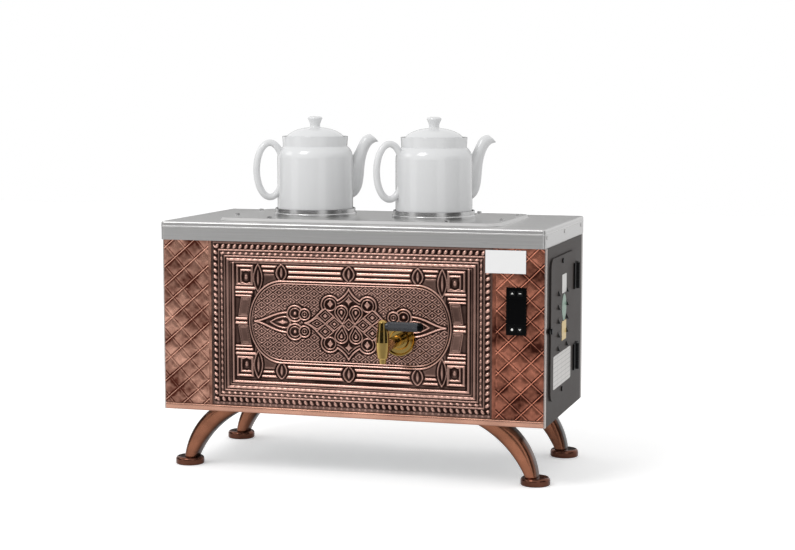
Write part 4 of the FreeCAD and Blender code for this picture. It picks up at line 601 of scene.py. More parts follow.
def local_mean(height, reach):
    """Mean over a square of 2 reach + 1 points, from running sums in both directions."""
    padded = np.pad(height, reach + 1, mode="edge")
    total = padded.cumsum(0).cumsum(1)
    side = 2 * reach + 1
    square = (total[side:, side:] - total[:-side, side:] - total[side:, :-side]
              + total[:-side, :-side])
    return (square / side ** 2)[:height.shape[0], :height.shape[1]]


print("a roll of half width 2, at 0, 1 and 2:", roll(np.arange(3), 2))


# %% Distances and outlines
def box_distance(x, z, middle, halves):
    """Distance outwards from a box's edge: negative inside it."""
    return np.maximum(np.abs(x - middle[0]) - halves[0], np.abs(z - middle[1]) - halves[1])


def diamond(x, z, half_x, half_z):
    """Distance inwards from the edge of a diamond: negative outside it."""
    share = 1 - np.abs(x) / half_x - np.abs(z) / half_z
    return share * half_x * half_z / math.hypot(half_x, half_z)


def lattice(right, up, half_x, half_z):
    """Place in a lattice of diamonds. right and up are counted in half diamonds. The results
    are how far the two nearest lines are, in spans, and the span between two lines."""
    first, second = (right + up) / 2, (right - up) / 2
    span = 2 * half_x * half_z / math.hypot(half_x, half_z)
    return first - np.round(first), second - np.round(second), span


def line_distance(x, z, points):
    """Distance to a run of straight stretches: the least over the stretches."""
    nearest = np.full(x.shape, np.inf)
    for (from_x, from_z), (to_x, to_z) in zip(points, points[1:]):
        run_x, run_z = to_x - from_x, to_z - from_z
        share = ((x - from_x) * run_x + (z - from_z) * run_z) / (run_x ** 2 + run_z ** 2)
        share = np.clip(share, 0, 1)
        away = np.hypot(x - from_x - share * run_x, z - from_z - share * run_z)
        nearest = np.minimum(nearest, away)
    return nearest


def is_inside(x, z, points):
    """Even-odd test against a closed run of points."""
    inside = np.zeros(x.shape, bool)
    for (from_x, from_z), (to_x, to_z) in zip(points, points[1:] + points[:1]):
        if from_z == to_z:
            continue
        crosses = (from_z > z) != (to_z > z)
        across = from_x + (z - from_z) * (to_x - from_x) / (to_z - from_z)
        inside ^= crosses & (x < across)
    return inside


def drop_distance(x, z, middle, tip, radius):
    """Signed distance to a drop: a circle and the two straight sides from it to its tip."""
    reach = math.dist(middle, tip)
    way_x, way_z = (tip[0] - middle[0]) / reach, (tip[1] - middle[1]) / reach
    along = (x - middle[0]) * way_x + (z - middle[1]) * way_z
    aside = np.abs((x - middle[0]) * way_z - (z - middle[1]) * way_x)
    sine = radius / reach
    cosine = math.sqrt(1 - sine ** 2)
    side = along * sine + aside * cosine - radius
    return np.where(along * cosine > aside * sine, side, np.hypot(along, aside) - radius)


def curve(*points, count=16):
    """Bezier curve of the points: the sum of (n over i) s^i (1 - s)^(n - i) times point i."""
    share = np.linspace(0, 1, count)
    total = np.zeros((count, 2))
    degree = len(points) - 1
    for index, point in enumerate(points):
        weight = math.comb(degree, index) * share ** index * (1 - share) ** (degree - index)
        total += weight[:, None] * np.array(point)
    return [tuple(point) for point in total]


def arc(middle, radius, start, stop, count=20):
    """Points along a circle from one angle to another, in degrees."""
    angle = np.radians(np.linspace(start, stop, count))
    return list(zip(middle[0] + radius * np.cos(angle), middle[1] + radius * np.sin(angle)))


print("middle of a curve:", curve((0, 0), (1, 2), (2, 0), count=3)[1])

# %% [markdown]
# ## The embossed front
#
# The wide sheet carries frames of beads and mouldings round a long field with rounded ends. All
# values are millimetres from the middle of the field. The frames need only one coordinate across
# them and one along them, so a single formula goes all the way round with clean mitres.

# %% Frames
FIELD_MIDDLE, FIELD_SQUEEZE = 139.6, 0.988
BEAD_X, BEAD_TOP, BEAD_BOTTOM, BEAD_SHIFT = 227.5, 121.5, 131.8, 2.6
BEADS_ACROSS, BEADS_UP = 45, 25
BEAD_STEP_X, BEAD_STEP_Z = 2 * BEAD_X / BEADS_ACROSS, (BEAD_TOP + BEAD_BOTTOM) / BEADS_UP
INNER_X, INNER_Z = 193.5, 94.5
HEM, HEM_EDGE, HOLLOW = 0.30, -4.8, 0.06
LEAN = 0.35
BEAD_HALVES, ROPE_HALVES, LOW_HALVES = (3.9, 4.9), (4.4, 3.0), (3.2, 2.2)
ROPE_IN, WIDE_IN, THIRD_IN, LOW_IN, LOW_RISE = 10.8, 21, 30.5, -7, 0.6
# Half width and height of each roll. A ledge also has how far in it lies, which comes first.
ROPE_ROLL, WIDE_ROLL, THIRD_ROLL, SCALLOP_RISE = (3.2, 0.45), (3.4, 0.80), (2.8, 0.85), 0.18
LEDGES = ((5.8, 1.9, 0.62), (15.6, 1.9, 0.66), (25.6, 1.6, 0.55))


def frame_height(x, z):
    """Nested frames. across is the distance inwards from the line of beads, and along the place
    within one bead."""
    from_side = BEAD_X - np.abs(x)
    from_flat = np.minimum(BEAD_TOP - z, z + BEAD_BOTTOM)
    is_level = from_flat < from_side
    across = np.minimum(from_side, from_flat)
    count = np.where(is_level, (x + BEAD_X - BEAD_SHIFT) / BEAD_STEP_X,
                     (z + BEAD_BOTTOM) / BEAD_STEP_Z)
    along = (count - np.round(count)) * BEAD_STEP_X
    in_rope = across - ROPE_IN
    scallop = np.abs(np.sin(math.pi * count)) * is_level
    third = np.minimum(from_side, z + BEAD_BOTTOM) - THIRD_IN
    return highest(
        np.where(across < HEM_EDGE, HEM, HOLLOW),
        dab(along + LEAN * across, across, BEAD_HALVES),
        dab(along + LEAN * in_rope, in_rope, ROPE_HALVES),
        ridge(in_rope, *ROPE_ROLL),
        roll(across - WIDE_IN, WIDE_ROLL[0]) * (WIDE_ROLL[1] + SCALLOP_RISE * scallop),
        ridge(third, *THIRD_ROLL) * (z < INNER_Z + 1),
        dab(along, across - LOW_IN, LOW_HALVES) * LOW_RISE * (z < 0),
        *(ridge(across - inwards, half, rise) for inwards, half, rise in LEDGES))


print("beads:", 2 * (BEADS_ACROSS + BEADS_UP), "with a step of", round(BEAD_STEP_X, 2), "mm")

# %% [markdown]
# Between the frames and the field lie level bars, pointed leaves that interrupt them, a panelled
# square in each corner and slanted panels at the ends. It is the same in each quarter, so only
# one quarter is described and the others mirror it.

# %% Between the frames and the field
CORNER_OUTER, CORNER_INNER = ((176.7, 75.5), (13, 15)), ((174.2, 73), (9, 10.5))
CORNER_FLOOR, CORNER_OUTER_RIDGE, CORNER_INNER_RIDGE = 0.35, (2.6, 0.9), (2.0, 0.85)
BOSS_MIDDLE, BOSS_SQUEEZE, BOSS_HOLLOW, BOSS = (174.5, 72), 0.78, 7.8, (3.8, 0.75)
# Each leaf: its middle, its half sizes, and the half sizes of the clearing round it.
LEAVES = (((154, 71.5), (8, 24), (11, 28)), ((114, 80.5), (9.5, 15), (13, 19)),
          ((0, 81.5), (10, 14), (14, 18)))
# Each level bar: its place up, its half width, where it starts and stops, and its height.
TOP_BARS = ((90.5, 3.3, -1, 107, 0.95), (82.2, 3.3, -1, 107, 0.95), (74, 3.3, -1, 107, 0.95),
            (90.5, 2.6, 120, 148, 0.9), (83, 2.6, 120, 148, 0.9))
SIDE_BARS = ((54.2, 3.2, 158), (47.2, 2.6, 163), (41.6, 2.0, 165), (3.6, 2.8, 172))
LEAF_RISE, SIDE_BAR_RISE, CLEARING_EDGE = 0.95, 0.95, 0.12
BEHIND_LEAF, BEHIND_LEAF_RISE = ((140, 59), (20, 19)), 0.4
SLANT, SLANTED_PANEL, PANEL_RISE = 0.16, ((181, 23), (6.5, 14)), 0.46
PANEL_RIM_OUT, PANEL_RIM = 1.4, (1.3, 0.62)


def corner_square(x, z):
    """Panelled square in a corner: two frames round a round hollow with a boss in it."""
    outer = box_distance(x, z, *CORNER_OUTER)
    inner = box_distance(x, z, *CORNER_INNER)
    reach = np.hypot(x - BOSS_MIDDLE[0], (z - BOSS_MIDDLE[1]) * BOSS_SQUEEZE)
    height = highest(np.where(outer < 0, CORNER_FLOOR, 0), ridge(outer, *CORNER_OUTER_RIDGE),
                     ridge(inner, *CORNER_INNER_RIDGE))
    height = np.where(reach < BOSS_HOLLOW, HOLLOW, height)
    return highest(height, ridge(reach, *BOSS))


def between_height(x, z):
    """Bars, leaves in their clearings, the corner square and the slanted panel."""
    clear = np.ones(x.shape)
    leaves = []
    for middle, halves, clearing in LEAVES:
        aside, along = x - middle[0], z - middle[1]
        leaves.append(leaf(lens(aside, along, halves)) * LEAF_RISE)
        clear *= 1 - step(0, CLEARING_EDGE, lens(aside, along, clearing))
    bars = [ridge(z - up, half, rise) * clear * (x > start) * (x < stop)
            for up, half, start, stop, rise in TOP_BARS]
    bars += [ridge(z - up, half, SIDE_BAR_RISE) * (x > start) for up, half, start in SIDE_BARS]
    behind_leaf = (box_distance(x, z, *BEHIND_LEAF) < 0) * clear * BEHIND_LEAF_RISE
    edge = box_distance(x + SLANT * z, z, *SLANTED_PANEL)
    panel = np.where(edge < 0, PANEL_RISE, ridge(edge - PANEL_RIM_OUT, *PANEL_RIM))
    return highest(HOLLOW, *leaves, *bars, behind_leaf, corner_square(x, z), panel)


print("bars and leaves in a quarter:", len(TOP_BARS) + len(SIDE_BARS), "and", len(LEAVES))

# %% [markdown]
# The field has a diaper of small diamonds behind a knotwork medallion and two leaf finials. The
# medallion's strap could be a swept tube, but in a press it is only a ridge along a line: its
# height is a roll of the distance to that line. Round each form the ground is pressed deep, which
# makes it stand out.

# %% Ground of the field
GROUND_X, GROUND_Z, GROUND_CROSSING = 10.0, 7.2, (108, -59.5)
CELL_FLOOR, CELL_EDGE = 0.34, 1.1
CELL_LINE_IN, CELL_LINE, CELL_BOSS = 1.5, (1.3, 0.78), (2.2, 0.85)


def ground_height(x, z):
    """Diaper: diamond cells between grooves, each with a line inside it and a small boss."""
    right, up = (x - GROUND_CROSSING[0]) / GROUND_X, (z - GROUND_CROSSING[1]) / GROUND_Z
    first, second, span = lattice(right, up, GROUND_X, GROUND_Z)
    inwards = (0.5 - np.maximum(np.abs(first), np.abs(second))) * span
    reach = np.hypot(GROUND_X * (first + second), GROUND_Z * (first - second))
    return highest(HOLLOW, CELL_FLOOR * step(0, CELL_EDGE, inwards),
                   ridge(inwards - CELL_LINE_IN, *CELL_LINE), ridge(reach, *CELL_BOSS))


print("diaper cells:", 2 * GROUND_X, "by", 2 * GROUND_Z, "mm")

# %% Leaf finials
BLADE = curve((160, 0), (140, 2), (128, 16), (101, 16.5))
BLADE_ROOT = [(92, 10), (92, 0)]
BLADE_HALF, VEIN = 2.2, (1.5, 0.85)
LEAF = curve((133, 0), (118, 10), (106, 9)) + curve((103, 7.5), (98, 0), count=4)
CORE_X, CORE_HALVES, CORE_BEVEL, CORE_RISE = 112, (11, 5), 3, 0.95
LOOPS = ((91, 15, 13), (74.5, 14, 9))
LOOP_HALF, LOOP_LINE_IN, LOOP_LINE = 2.1, 4.6, (1.3, 0.8)
LOOP_BOSS_SHARE, LOOP_BOSS_RISE, LOOP_EDGE = 0.24, 0.85, 1.5


def finial_distance(x, z):
    """Signed distance to a leaf finial: a pointed blade, a large loop and a small loop."""
    away = line_distance(x, z, BLADE)
    blade = np.where(is_inside(x, z, BLADE + BLADE_ROOT), -away, away)
    loops = [np.hypot(x - middle_x, z - middle_z) - radius for middle_x, middle_z, radius in LOOPS]
    return np.minimum(blade, np.minimum(*loops))


def finial_height(x, z):
    """Strap along the blade, a leaf line with a faceted core, and a ring in each loop."""
    core = np.clip(diamond(x - CORE_X, z, *CORE_HALVES) / CORE_BEVEL, 0, 1)
    height = highest(HOLLOW, roll(line_distance(x, z, BLADE), BLADE_HALF),
                     ridge(line_distance(x, z, LEAF), *VEIN), core * CORE_RISE)
    for middle_x, middle_z, radius in LOOPS:
        reach = np.hypot(x - middle_x, z - middle_z)
        rings = highest(roll(reach - radius, LOOP_HALF),
                        ridge(reach - radius + LOOP_LINE_IN, *LOOP_LINE),
                        ridge(reach, LOOP_BOSS_SHARE * radius, LOOP_BOSS_RISE))
        height = np.where(reach < radius + LOOP_EDGE, rings, height)
    return height


print("finial outline:", len(BLADE + BLADE_ROOT), "points and", len(LOOPS), "loops")

# %% Medallion
MEDALLION = (curve((0, 57.5), (5, 47), (17, 39.5)) + arc((31.5, 31.5), 14.5, 151, -33)
             + curve((43.5, 23.5), (56, 10), (62, 3), (74, 0)))
STRAP_HALF = 2.0
SHIELD_SIDE, SHIELD_FOOT, SHIELD_IN, SHIELD_LINE = 21, 19, 4.8, (1.2, 0.75)
STAR_UP, STAR_REACH, STAR_POINT, STAR_BEVEL, STAR_RISE = 38, 8.5, 0.75, 3, 0.9
CURL_MIDDLE, CURL_REACH, CURL_RADIUS, CURL_LINE = 31.5, 12, 9.8, (1.4, 0.85)
CURL_CORE, CURL_CORE_HALVES, CURL_BEVEL = (31, 32.5), (6.5, 7.5), 2
# Each diamond: its middle and its half sizes. It holds an edge, a line and a flat core.
DIAMONDS = ((0, 0, 9.5, 9), (24, 0, 13.3, 11), (39.5, 12.7, 14, 12), (53.5, 0, 15, 9))
DIAMOND_EDGE, DIAMOND_LINE_IN, DIAMOND_LINE, DIAMOND_CORE_IN = 1.4, 3.6, (1.1, 0.8), 5.6
DROP = {"middle": (12.2, 20), "tip": (10.4, 0.5), "radius": 10.6}
DROP_EDGE, DROP_LINE_IN, DROP_LINE, DROP_CORE_IN, DROP_REACH = 1.7, 4.3, (1.4, 0.9), 7.2, 1.6
CORE_SLOPE, DIAMOND_CORE_RISE, DROP_CORE_RISE = 1.5, 0.8, 0.9


def medallion_height(x, z, away):
    """Strap with a loop in each corner, drops beside the middle, nested diamonds, and a star.
    away is the distance to the strap's line."""
    strap = roll(away, STRAP_HALF)
    shield = ridge(away - SHIELD_IN, *SHIELD_LINE) * ((x < SHIELD_SIDE) & (z > SHIELD_FOOT))
    star = (1 - np.abs(x / STAR_REACH) ** STAR_POINT
            - np.abs((z - STAR_UP) / STAR_REACH) ** STAR_POINT)
    height = highest(HOLLOW, strap, shield, np.clip(STAR_BEVEL * star, 0, 1) * STAR_RISE)
    reach = np.hypot(x - CURL_MIDDLE, z - CURL_MIDDLE)
    core = diamond(x - CURL_CORE[0], z - CURL_CORE[1], *CURL_CORE_HALVES) / CURL_BEVEL
    curl = highest(ridge(reach - CURL_RADIUS, *CURL_LINE), np.clip(core, 0, 1))
    height = np.where(reach < CURL_REACH, curl, height)
    for middle_x, middle_z, half_x, half_z in DIAMONDS:
        inwards = diamond(x - middle_x, z - middle_z, half_x, half_z)
        core = np.clip((inwards - DIAMOND_CORE_IN) / CORE_SLOPE, 0, 1) * DIAMOND_CORE_RISE
        lines = highest(roll(inwards, DIAMOND_EDGE), core, strap,
                        ridge(inwards - DIAMOND_LINE_IN, *DIAMOND_LINE))
        height = np.where(inwards > -DIAMOND_EDGE, lines, height)
    drop = drop_distance(x, z, **DROP)
    core = np.clip((-DROP_CORE_IN - drop) / CORE_SLOPE, 0, 1) * DROP_CORE_RISE
    lines = highest(roll(drop, DROP_EDGE), ridge(drop + DROP_LINE_IN, *DROP_LINE), core)
    return np.where(drop < DROP_REACH, lines, height)


print("medallion outline:", len(MEDALLION), "points for a quarter")

# %% The whole field
ROUND_FROM, ROUND_HALVES, ROUND_SCALE, FIELD_HALF = 113, (57, 69), 60, 68.7
RIM_OUTER_IN, RIM_OUTER_HALF, RIM_INNER_IN, RIM_INNER = 1.6, 2.0, 5.6, (1.6, 0.85)
GROUND_IN, RIM_OUT, CLEARING = 7.4, 0.4, 5
FINIAL_CLEAR_FROM, STRAP_CLEAR_FROM = 1.5, 2


def field_height(x, z, ground):
    """Rim of two ridges, the diaper, and the medallion and finials over it. edge is the distance
    outwards from the rim, and the result is -1 outside it."""
    rounded = np.hypot((x - ROUND_FROM) / ROUND_HALVES[0], z / ROUND_HALVES[1]) - 1
    edge = np.where(x < ROUND_FROM, z - FIELD_HALF, rounded * ROUND_SCALE)
    height = highest(roll(edge + RIM_OUTER_IN, RIM_OUTER_HALF),
                     ridge(edge + RIM_INNER_IN, *RIM_INNER))
    height = np.where(edge < -GROUND_IN, ground, height)
    finial = finial_distance(x, z)
    pressed = height * step(FINIAL_CLEAR_FROM, CLEARING, finial)
    height = np.where(finial < CLEARING, pressed, height)
    height = np.where(finial < BLADE_HALF, finial_height(x, z), height)
    inside = is_inside(x, z, MEDALLION + [(0, 0)])
    strap = line_distance(x, z, MEDALLION)
    pressed = height * step(STRAP_CLEAR_FROM, CLEARING, strap)
    height = np.where(~inside & (strap < CLEARING), pressed, height)
    height = np.where(inside | (strap < STRAP_HALF), medallion_height(x, z, strap), height)
    return np.where(edge < RIM_OUT, height, -1)


def embossed_height(x, z):
    """Whole sheet: frames outside the inner box, and in it the field or what surrounds it."""
    side, up = np.abs(x), np.abs(z)
    field = field_height(side, up, ground_height(side, z))
    inner = np.where(field >= 0, field, between_height(side, up))
    return np.where((side < INNER_X) & (up < INNER_Z), inner, frame_height(x, z))


print("field:", 2 * (ROUND_FROM + ROUND_HALVES[0]), "by", 2 * FIELD_HALF, "mm")

# %% [markdown]
# The sheet is one press part, but a single mesh of it would be too large for an STL file, so it
# is cut into four where nobody can see it. A cloth rubbed the blackened copper: it reached the
# crests and missed the hollows between them. On top of that, level ridges are painted brighter
# than upright ones, as a painted light from above. All of that follows from the heights.

# %% Grids and rubbing
DEPTH, PITCH = 2.4, 0.62
CREST_POWER, CREST_LIFT, FLAT_SLOPE = 1.5, 0.3, 0.0001


def grid_over(low, high, pitch):
    """Evenly spaced places from low to high, at most about a pitch apart."""
    return np.linspace(low, high, int(round((high - low) / pitch)) + 1)


def rubbed_from(height, reach, contrast, lift):
    """How bright a cloth has rubbed each point: crests most, and hollows between them least."""
    crest = np.clip(height, 0, 1) ** CREST_POWER
    proud = crest - local_mean(crest, reach)
    return np.clip(lift + contrast * proud + CREST_LIFT * crest, 0, 1)


def painted_light_from_above(height, x, z, upright, level):
    """Painted light from above: factor from upright to level, by the share of up-and-down slope."""
    slope_z, slope_x = np.gradient(height, z, x)
    steep_x, steep_z = local_mean(slope_x ** 2, 3), local_mean(slope_z ** 2, 3)
    return upright + (level - upright) * steep_z / (steep_x + steep_z + FLAT_SLOPE)


print("grid pitch:", PITCH, "mm, relief depth:", DEPTH, "mm")

# %% The embossed sheet in four parts
CUTS = (-232, -116, 0, 116, 232)
RUBBING = {"reach": 6, "contrast": 1.2, "lift": 0.18}
# Painted light from above: upright ridges are darkened and level ones brightened.
UPRIGHT_PAINTED_LIGHT, LEVEL_PAINTED_LIGHT = 0.55, 1.12
TAP_INSET = 2
low, high = limits("embossed_front_panel")
panel_middle = (low[0] + high[0]) / 2
x, z = grid_over(low[0], high[0], PITCH), grid_over(low[2], high[2], PITCH)
height = embossed_height(*np.meshgrid(x - panel_middle,
                                      (z - low[2] - FIELD_MIDDLE) / FIELD_SQUEEZE))
height = local_mean(height, 1) * 0.5 + height * 0.5
rubbed = rubbed_from(height, **RUBBING)
# Painted light from above: the rubbing is scaled so that level ridges come out brighter.
rubbed = rubbed * painted_light_from_above(height, x, z, UPRIGHT_PAINTED_LIGHT, LEVEL_PAINTED_LIGHT)
front = low[1] + DEPTH * (1 - height)
tap_low, tap_high = limits("tap_seal")
tap_hole = (tap_low[0] + TAP_INSET, tap_high[0] - TAP_INSET,
            tap_low[2] + TAP_INSET, tap_high[2] - TAP_INSET)
cuts = np.searchsorted(x, panel_middle + np.array(CUTS) + 0.01)
cuts[-1] = len(x) - 1
for index, (first, last) in enumerate(zip(cuts, cuts[1:])):
    across = slice(first, last + 1)
    has_tap = x[first] < tap_hole[0] and x[last] > tap_hole[1]
    relief_sheet("embossed_sheet_%d" % (index + 1), x[across], z, front[:, across], high[1],
                 rubbed[:, across], embossed_copper, hole=tap_hole if has_tap else None,
                 body="urn", replaced=["embossed_front_panel"], slot="copper")
print("embossed front:", front.size, "points in", len(cuts) - 1, "sheets")

# %% [markdown]
# ## Diamond strips
#
# The narrow sheets at both sides carry a net of thin raised lines with flat pillows between, and
# a plain hem. The net could be a bump in the material, but at this size its lines catch the light
# and cast shade, so it is real relief. It was scribed by hand, so it lies a little askew.


# %% Net of the strips
LINE_HALF, CREASE_OFF, CREASE_HALF, CREASE_DEPTH = 1.0, 1.9, 0.9, 0.24
PILLOW_LOW, PILLOW_RISE, PILLOW_EDGE, STRIP_HEM = 0.42, 0.16, 8, 0.45
STRIP_RUBBING = {"reach": 4, "contrast": 2.4, "lift": 0.14}


def strip_height(x, z, crossing, halves, turn, rises):
    """Net of thin ridges through a crossing, on a lattice turned clockwise by turn degrees.
    rises are the heights of its two families of lines."""
    sine, cosine = math.sin(math.radians(turn)), math.cos(math.radians(turn))
    off_x, off_z = x - crossing[0], z - crossing[1]
    right = (off_x * cosine - off_z * sine) / halves[0]
    up = (off_x * sine + off_z * cosine) / halves[1]
    first, second, span = lattice(right, up, *halves)
    to_first, to_second = first * span, second * span
    away = np.minimum(np.abs(to_first), np.abs(to_second))
    creases = roll(to_first - CREASE_OFF, CREASE_HALF) + roll(to_second + CREASE_OFF, CREASE_HALF)
    pillow = PILLOW_LOW + PILLOW_RISE * step(LINE_HALF, PILLOW_EDGE, away) - CREASE_DEPTH * creases
    return highest(pillow, ridge(to_first, LINE_HALF, rises[0]),
                   ridge(to_second, LINE_HALF, rises[1]))


print("net lines:", 2 * LINE_HALF, "mm wide")


# %% Diamond strips
def make_strip(name, crossing, halves, turn, rises, hems, material, hole=None):
    """Strip with plain hems beside the net. crossing is measured from the strip's low corner,
    and hems from its left and right edge to the net's limits."""
    low, high = limits(name)
    x, z = grid_over(low[0], high[0], PITCH), grid_over(low[2], high[2], PITCH)
    grid_x, grid_z = np.meshgrid(x, z)
    crossing = (low[0] + crossing[0], low[2] + crossing[1])
    height = strip_height(grid_x, grid_z, crossing, halves, turn, rises)
    net_low, net_high = low[0] + hems[0], high[0] + hems[1]
    within = step(net_low - 1, net_low + 1, grid_x) * (1 - step(net_high - 1, net_high + 1, grid_x))
    height = height * within + STRIP_HEM * (1 - within)
    rubbed = rubbed_from(height, **STRIP_RUBBING)
    front = low[1] + DEPTH * (1 - height)
    relief_sheet(name + "_sheet", x, z, front, high[1], rubbed, material, hole=hole, body="urn",
                 replaced=[name], slot="copper")


box_low, box_high = limits("controller_housing")
make_strip("diamond_strip_left", (43.5, 72.6), (17.0, 16.5), 3.3, (0.52, 0.92), (-2, -5),
           diamond_copper)
make_strip("diamond_strip_right", (45, 73.6), (17.5, 16.3), -1.5, (0.66, 0.8), (6, 2), red_copper,
           hole=(box_low[0], box_high[0], box_low[2], box_high[2]))
left_low, left_high = limits("diamond_strip_left")
right_low = limits("diamond_strip_right")[0]
print("diamond strips:", left_high - left_low, "mm each")

# %% [markdown]
# Where two sheets meet, their folded edges leave a narrow channel in shadow. An open gap would show
# the steel behind it as a bright line, so a thin strip with a shallow folded face fills it. Its
# copper is kept nearly black, as painted shadow of the channel.

# %% Seams between the sheets
SEAM_FOLDS, SEAM_ROWS, SEAM_GAUGE = 24, 40, 0.6


def tube_faces(number):
    """Quads between rows of point numbers, where each row is a closed ring."""
    after = np.roll(number, -1, axis=1)
    quads = np.stack([number[:-1], after[:-1], after[1:], number[1:]], axis=-1)
    return quads.reshape(-1, 4).tolist()


def make_seam(name, x_low, x_high, z_low, z_high, face):
    """Folded strip in front of y = face. Its depth is 0.35 + 0.65 cos^4 of its gauge."""
    share = np.linspace(0, 1, SEAM_FOLDS + 1)
    depth = SEAM_GAUGE * (0.35 + 0.65 * np.cos(math.pi * share) ** 4)
    folded = np.stack([x_low + (x_high - x_low) * share, face - depth], axis=-1)
    section = np.concatenate([folded, [(x_high, face), (x_low, face)]])
    rows = np.linspace(z_low, z_high, SEAM_ROWS)
    grid_z, grid_number = np.meshgrid(rows, np.arange(len(section)), indexing="ij")
    points = np.stack([section[grid_number, 0], section[grid_number, 1], grid_z], axis=-1)
    number = np.arange(grid_z.size).reshape(grid_z.shape)
    faces = tube_faces(number) + [number[0, ::-1].tolist(), number[-1].tolist()]
    new_piece(name, points.reshape(-1, 3), faces, seam_shadow_copper, "urn", slot="copper", smooth=False)


sheet_low, sheet_high = limits("embossed_front_panel")
for name, x_low, x_high in (("seam_left", left_high[0], sheet_low[0]),
                            ("seam_right", sheet_high[0], right_low[0])):
    make_seam(name, x_low, x_high, sheet_low[2], sheet_high[2], sheet_high[1])
print("seams:", round(sheet_low[0] - left_high[0], 2), "mm wide")

# %% [markdown]
# ## Lower band
#
# Under the three sheets runs a plain copper band with a rounded face. It was bent by hand, so it
# waves a little, which a straight bevel wouldn't show. It is one more relief, with a coarse grid
# along it and a fine one up it.

# %% Lower band
BAND_WAVE, BAND_WAVE_HEIGHT = 23, 0.05
BAND_GROOVE_AT, BAND_GROOVE_HALF = 0.86, 0.06
low, high = limits("lower_front_trim")
x, z = grid_over(low[0], high[0], 3), grid_over(low[2], high[2], 0.5)
grid_x, grid_z = np.meshgrid(x, z)
share = (grid_z - low[2]) / (high[2] - low[2])
height = (1 - np.abs(2 * share - 0.9) ** 3.5) * 0.85
height += BAND_WAVE_HEIGHT * np.sin(grid_x / BAND_WAVE) * share
height = np.clip(height - 0.3 * roll(share - BAND_GROOVE_AT, BAND_GROOVE_HALF), 0, 1)
rubbed = np.clip(0.25 + 0.6 * height - 0.2 * share, 0, 1)
front = low[1] + (high[1] - low[1] - 0.1) * (1 - height)
relief_sheet("lower_band", x, z, front, high[1], rubbed, band_copper, body="urn",
             replaced=["lower_front_trim"], slot="copper")
print("lower band:", height.size, "points")

# %% [markdown]
# ## Turned and swept pieces
#
# The legs, the lever grip, the lids and the tray's bead are round along one way. Blender's Spin
# or a bevelled curve could make them. One function for a closed skin over rings makes them all
# and keeps control of each ring: a ring is a row of points, and fans of triangles close the ends.


# %% A closed skin from rings
def skin(name, rings, material, body, replaced=(), slot=None, rubbed=None, looped=False):
    """Skin over rings of equal count, an array (rings, points, 3). Outward faces need rings that
    turn clockwise when seen from the last one. looped joins the last ring to the first."""
    rings = np.asarray(rings, float)
    rows, count = rings.shape[:2]
    number = np.arange(rows * count).reshape(rows, count)
    points = rings.reshape(-1, 3)
    if looped:
        faces = tube_faces(np.concatenate([number, number[:1]]))
    else:
        faces = tube_faces(number)
        points = np.concatenate([points, [rings[0].mean(0), rings[-1].mean(0)]])
        first, last = rows * count, rows * count + 1
        after = np.roll(number, -1, axis=1)
        faces += [[first, after_one, one] for one, after_one in zip(number[0], after[0])]
        faces += [[last, one, after_one] for one, after_one in zip(number[-1], after[-1])]
    piece = new_piece(name, points, faces, material, body, replaced, slot)
    if rubbed is not None:
        set_rubbed(piece, rubbed, 0.4)


def lathe(profile, centre, axis="z", count=64, ripple=None):
    """Rings of a turned form. profile is pairs (along, radius). ripple adds to the radius as a
    function of along and angle."""
    profile = np.asarray(profile, float)
    angle = np.linspace(0, FULL_TURN, count, endpoint=False)
    along, turn = np.meshgrid(profile[:, 0], angle, indexing="ij")
    radius = np.repeat(profile[:, 1:], count, axis=1)
    if ripple is not None:
        radius = radius + ripple(along, turn)
    around_1, around_2 = radius * np.cos(turn), radius * np.sin(turn)
    if axis == "z":
        parts = [around_1, -around_2, along]
    else:
        parts = [along, -around_1, around_2]
    return np.stack([part + offset for part, offset in zip(parts, centre)], axis=-1)


print("rings of a short rod:", lathe([(0, 1), (5, 1)], (0, 0, 0)).shape)

# %% [markdown]
# Each leg is a casting that tapers from the casing to its ankle between two bows. A box with a
# bend modifier would keep hard edges. Here the section is a rounded block, fuller than an
# ellipse, so that the front face is crowned as on a casting. Its colour is lighter along its
# middle and darker towards its edges.

# %% Legs
LEG_TOP_WIDTH, LEG_ANKLE, LEG_REACH = 62, 20, 116.5
LEG_OUTER_BOW, LEG_INNER_BOW = 11.8, 12.9
LEG_ROWS, LEG_AROUND, LEG_FULLNESS = 48, 56, 3.4
LEG_MIDDLE_TONE, LEG_EDGE_DARK = 0.47, 0.45
LEGS = {"front_left_leg": -1, "back_left_leg": -1, "front_right_leg": 1, "back_right_leg": 1}


def bowed(start, end, rise, count):
    """Points of a circle arc from start to end that stands rise above its chord's middle."""
    start, end = np.array(start, float), np.array(end, float)
    chord = np.linalg.norm(end - start)
    radius = (chord ** 2 / 4 + rise ** 2) / (2 * rise)
    half = math.asin(chord / 2 / radius)
    angle = np.linspace(-half, half, count)
    way = (end - start) / chord
    side = np.array([-way[1], way[0]])
    across = np.outer(chord / 2 + radius * np.sin(angle), way)
    return start + across + np.outer(radius * np.cos(angle) - radius + rise, side)


